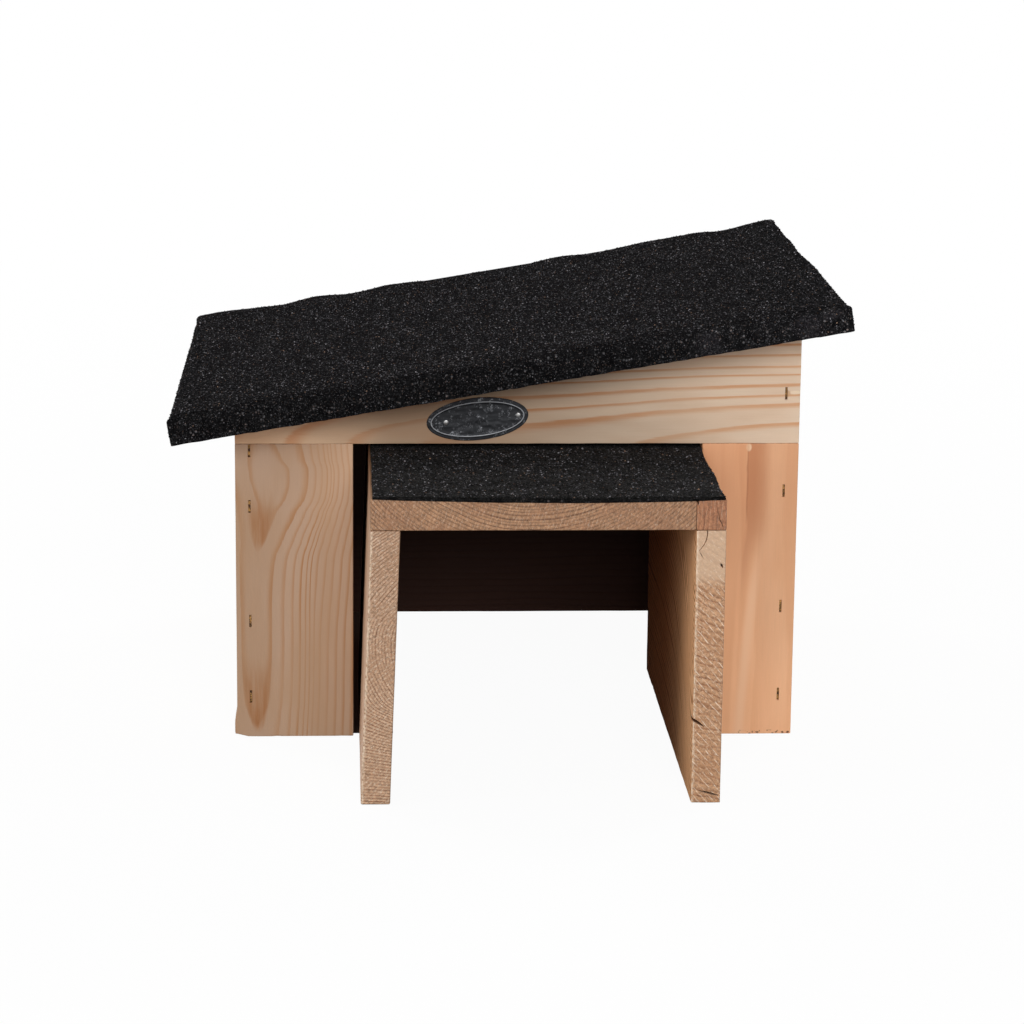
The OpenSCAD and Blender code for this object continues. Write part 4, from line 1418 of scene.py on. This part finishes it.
def badge_plate():
    """A bare oval cast plate: sunk field, raised rim and a rounded outer lip"""
    count, field_rings, field_middle = 128, 14, 0.88
    field_half = BADGE_HALF - BADGE_PROFILE[-1][0]
    rings = [(BADGE_HALF - inset, height) for inset, height in BADGE_PROFILE]
    for number in range(1, field_rings):
        share = 1 - number / field_rings
        rings.append((share * field_half, field_middle - 0.16 * share**2))
    turns = [2 * math.pi * i / count for i in range(count)]
    points = [
        (half[0] * math.cos(turn), half[1] * math.sin(turn), height)
        for half, height in rings for turn in turns
    ]
    last, middle = len(points) - count, len(points)
    points = np.array([*points, (0.0, 0.0, field_middle)])
    faces = []
    for start in range(0, last, count):
        for i in range(count):
            a, b = start + i, start + (i + 1) % count
            faces.append((a, b, b + count, a + count))
    faces += [(last + i, last + (i + 1) % count, middle) for i in range(count)]
    faces.append(tuple(reversed(range(count))))
    field = points[:, 2] > 0.7
    lumps = 0.24 * drift(points[field], 1.7, 12) + 0.2 * drift(points[field], 3.4, 13)
    points[field, 2] += np.where(points[field, 2] < 0.93, lumps, 0.15 * lumps)
    piece = solid("badge_oval", points, faces, BADGE, sharp_degrees=60)
    material, w = new_material("aged_pewter")
    place = object_place(w)
    worn = in_group(
        w, worn_metal, place=place, clean=srgb(140, 142, 147), stain=srgb(42, 43, 46),
        amount=0.82, size=0.33, roughness=0.26
    )
    above = measured(w, place, BADGE @ Vector((0, 0, 0.9)), BADGE.to_3x3() @ Vector(Z))
    colour = w.mix(w.rise(above, 0.26, 0.46), worn["Color"], srgb(150, 152, 156))
    dress(w, 0.12, worn["Height"], Base_Color=colour, Roughness=worn["Roughness"], Metallic=0.75)
    put(piece, "house", ["badge_plate"], material)


badge_plate()
heads = [(HOUSE.inverted() @ (BADGE @ Vector((x, 0, 1.5))), FORWARD) for x in (-20.15, 26.0)]
grown("badge_round_nails", nails, heads, "house", "zinc_steel", ["badge_nails"], wire_steel, HOUSE,
      head_radius=0.0015, head_height=0.0006, shank_radius=0.0007, length=0.012)

PHOTO_SIDE = 1024
FOCAL_PIXELS = 3300.1
CAMERA_AT = (-111.3, -2055.2, 623.9)
CAMERA_YAW, CAMERA_DOWN, CAMERA_ROLL = (math.radians(angle) for angle in (3.004, 12.997, 0.554))

camera_data = bpy.data.cameras.new("photo_camera")
camera_data.sensor_width = 36.0
camera_data.lens = FOCAL_PIXELS * camera_data.sensor_width / PHOTO_SIDE
camera_data.clip_start = 0.05
camera_data.clip_end = 90.0
camera = in_scene("photo_camera", camera_data)
camera.location = HOUSE @ Vector(CAMERA_AT)
camera.rotation_mode = "QUATERNION"
look = (
    Matrix.Rotation(-CAMERA_YAW, 3, "Z")
    @ Matrix.Rotation(math.pi / 2 - CAMERA_DOWN, 3, "X")
    @ Matrix.Rotation(CAMERA_ROLL, 3, "Z")
)
camera.rotation_quaternion = look.to_quaternion()
bpy.context.scene.camera = camera


def within(w, across, low, high):
    """1 between two places on a line, 0 outside them"""
    return w.math("LESS_THAN", abs(across - (low + high) / 2), (high - low) / 2)


def studio_floor():
    """A pale floor that looks white and takes a soft shadow. Below the house, except for the strip
    that is seen through the tunnel, it is painted shade where no studio white reaches: dark
    brown, half of it glowing; below the house and the tunnel it is painted darker for light
    that bounces off it"""
    half, drop = 30.0, 0.0005
    corners = (-half, -half), (half, -half), (half, half), (-half, half)
    mesh = bpy.data.meshes.new("studio_floor")
    mesh.from_pydata([(x, y, -drop) for x, y in corners], [], [(0, 1, 2, 3)])
    floor = in_scene("studio_floor", mesh)
    material, w = new_material("floor_white")
    w.tree.nodes.clear()
    spot = w.node("ShaderNodeTexCoord", out="Object")
    x, y, _ = w.outputs(w.made("ShaderNodeSeparateXYZ", spot)).values()
    inset, foot = 8 * MM, 22 * MM
    left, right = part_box("left_side_wall")[0].x + inset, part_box("right_side_lower")[1].x - inset
    front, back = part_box("left_stile")[0].y + inset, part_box("back_lower")[1].y - inset
    start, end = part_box("tunnel_left_wall")[0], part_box("tunnel_right_wall")[1]
    below_house = within(w, x, left, right) * within(w, y, front, back)
    below_tunnel = within(w, x, start.x, end.x) * within(w, y, start.y, back)
    seen_through = below_tunnel * within(w, x, start.x + foot, end.x)
    far = w.node("ShaderNodeVectorMath", spot, operation="LENGTH", out="Value")
    # Painted shade: below the house the floor is dark brown, half of it a glow of that colour
    painted_shade_below = below_house * (1.0 - seen_through)
    glow_share = w.rise(far, 0.4, 2.0, 0.955, 1.0) * (1.0 - painted_shade_below) + painted_shade_below * 0.5
    shaded = w.math("MAXIMUM", below_house, below_tunnel)
    rays = w.outputs(w.made("ShaderNodeLightPath"))
    mirrored = (rays["Is Glossy Ray"] + rays["Is Transmission Ray"]) * (1.0 - shaded)
    plain = w.math("ADD", rays["Is Camera Ray"], mirrored, clamp=True)
    seen_white = w.mix(painted_shade_below, (0.8, 0.8, 0.8), (0.2, 0.16, 0.13))
    # Painted shade: below the house and the tunnel the floor is darker for light bouncing off it
    bounced = w.mix(shaded, (0.5, 0.5, 0.5), (0.1, 0.09, 0.08))
    matt = w.node("ShaderNodeBsdfDiffuse", w.mix(plain, bounced, seen_white))
    glow = w.node("ShaderNodeEmission", w.mix(painted_shade_below, (1.0, 1.0, 1.0), srgb(20, 9, 6)), 1.0)
    w.made("ShaderNodeOutputMaterial", w.node("ShaderNodeMixShader", plain * glow_share, matt, glow))
    mesh.materials.append(material)


studio_floor()

world = bpy.data.worlds.new("studio")
world.use_nodes = True
room = Wiring(world.node_tree)
room.tree.nodes.clear()
rays = room.outputs(room.made("ShaderNodeLightPath"))
seen = rays["Is Camera Ray"] + rays["Is Glossy Ray"]
plain = room.math("ADD", seen, rays["Is Transmission Ray"], clamp=True)
dull = room.node("ShaderNodeBackground", (1.0, 1.0, 1.0), 0.24)
white = room.node("ShaderNodeBackground", (1.0, 1.0, 1.0), 1.0)
room.made("ShaderNodeOutputWorld", room.node("ShaderNodeMixShader", plain, dull, white))
bpy.context.scene.world = world

# Where a lamp is, how high it aims above the origin, its size in metres and its power in watts
LAMPS = [
    ("front_right", (0.4, -3.1, 1.3), 0.12, 1.0, 55),
    ("front_left", (-0.9, -3.0, 1.35), 0.12, 1.0, 19),
    ("side_left", (-2.5, -1.0, 0.9), 0.12, 1.0, 24),
    ("back_right", (2.3, 1.9, 1.3), 0.12, 1.2, 40),
    ("back_left", (-2.3, 1.9, 1.3), 0.12, 1.2, 40),
    ("overhead", (0.1, 0.4, 2.4), 0.1, 1.4, 9),
]
for name, at, aimed_height, size, power in LAMPS:
    lamp_data = bpy.data.lights.new(name, "AREA")
    lamp_data.shape = "SQUARE"
    lamp_data.size = size
    lamp_data.energy = power
    lamp = in_scene(name, lamp_data)
    lamp.location = at
    lamp.rotation_mode = "QUATERNION"
    aim = Vector((0, 0, aimed_height)) - Vector(at)
    lamp.rotation_quaternion = aim.to_track_quat("-Z", "Y")

bpy.context.scene.view_settings.view_transform = "Standard"
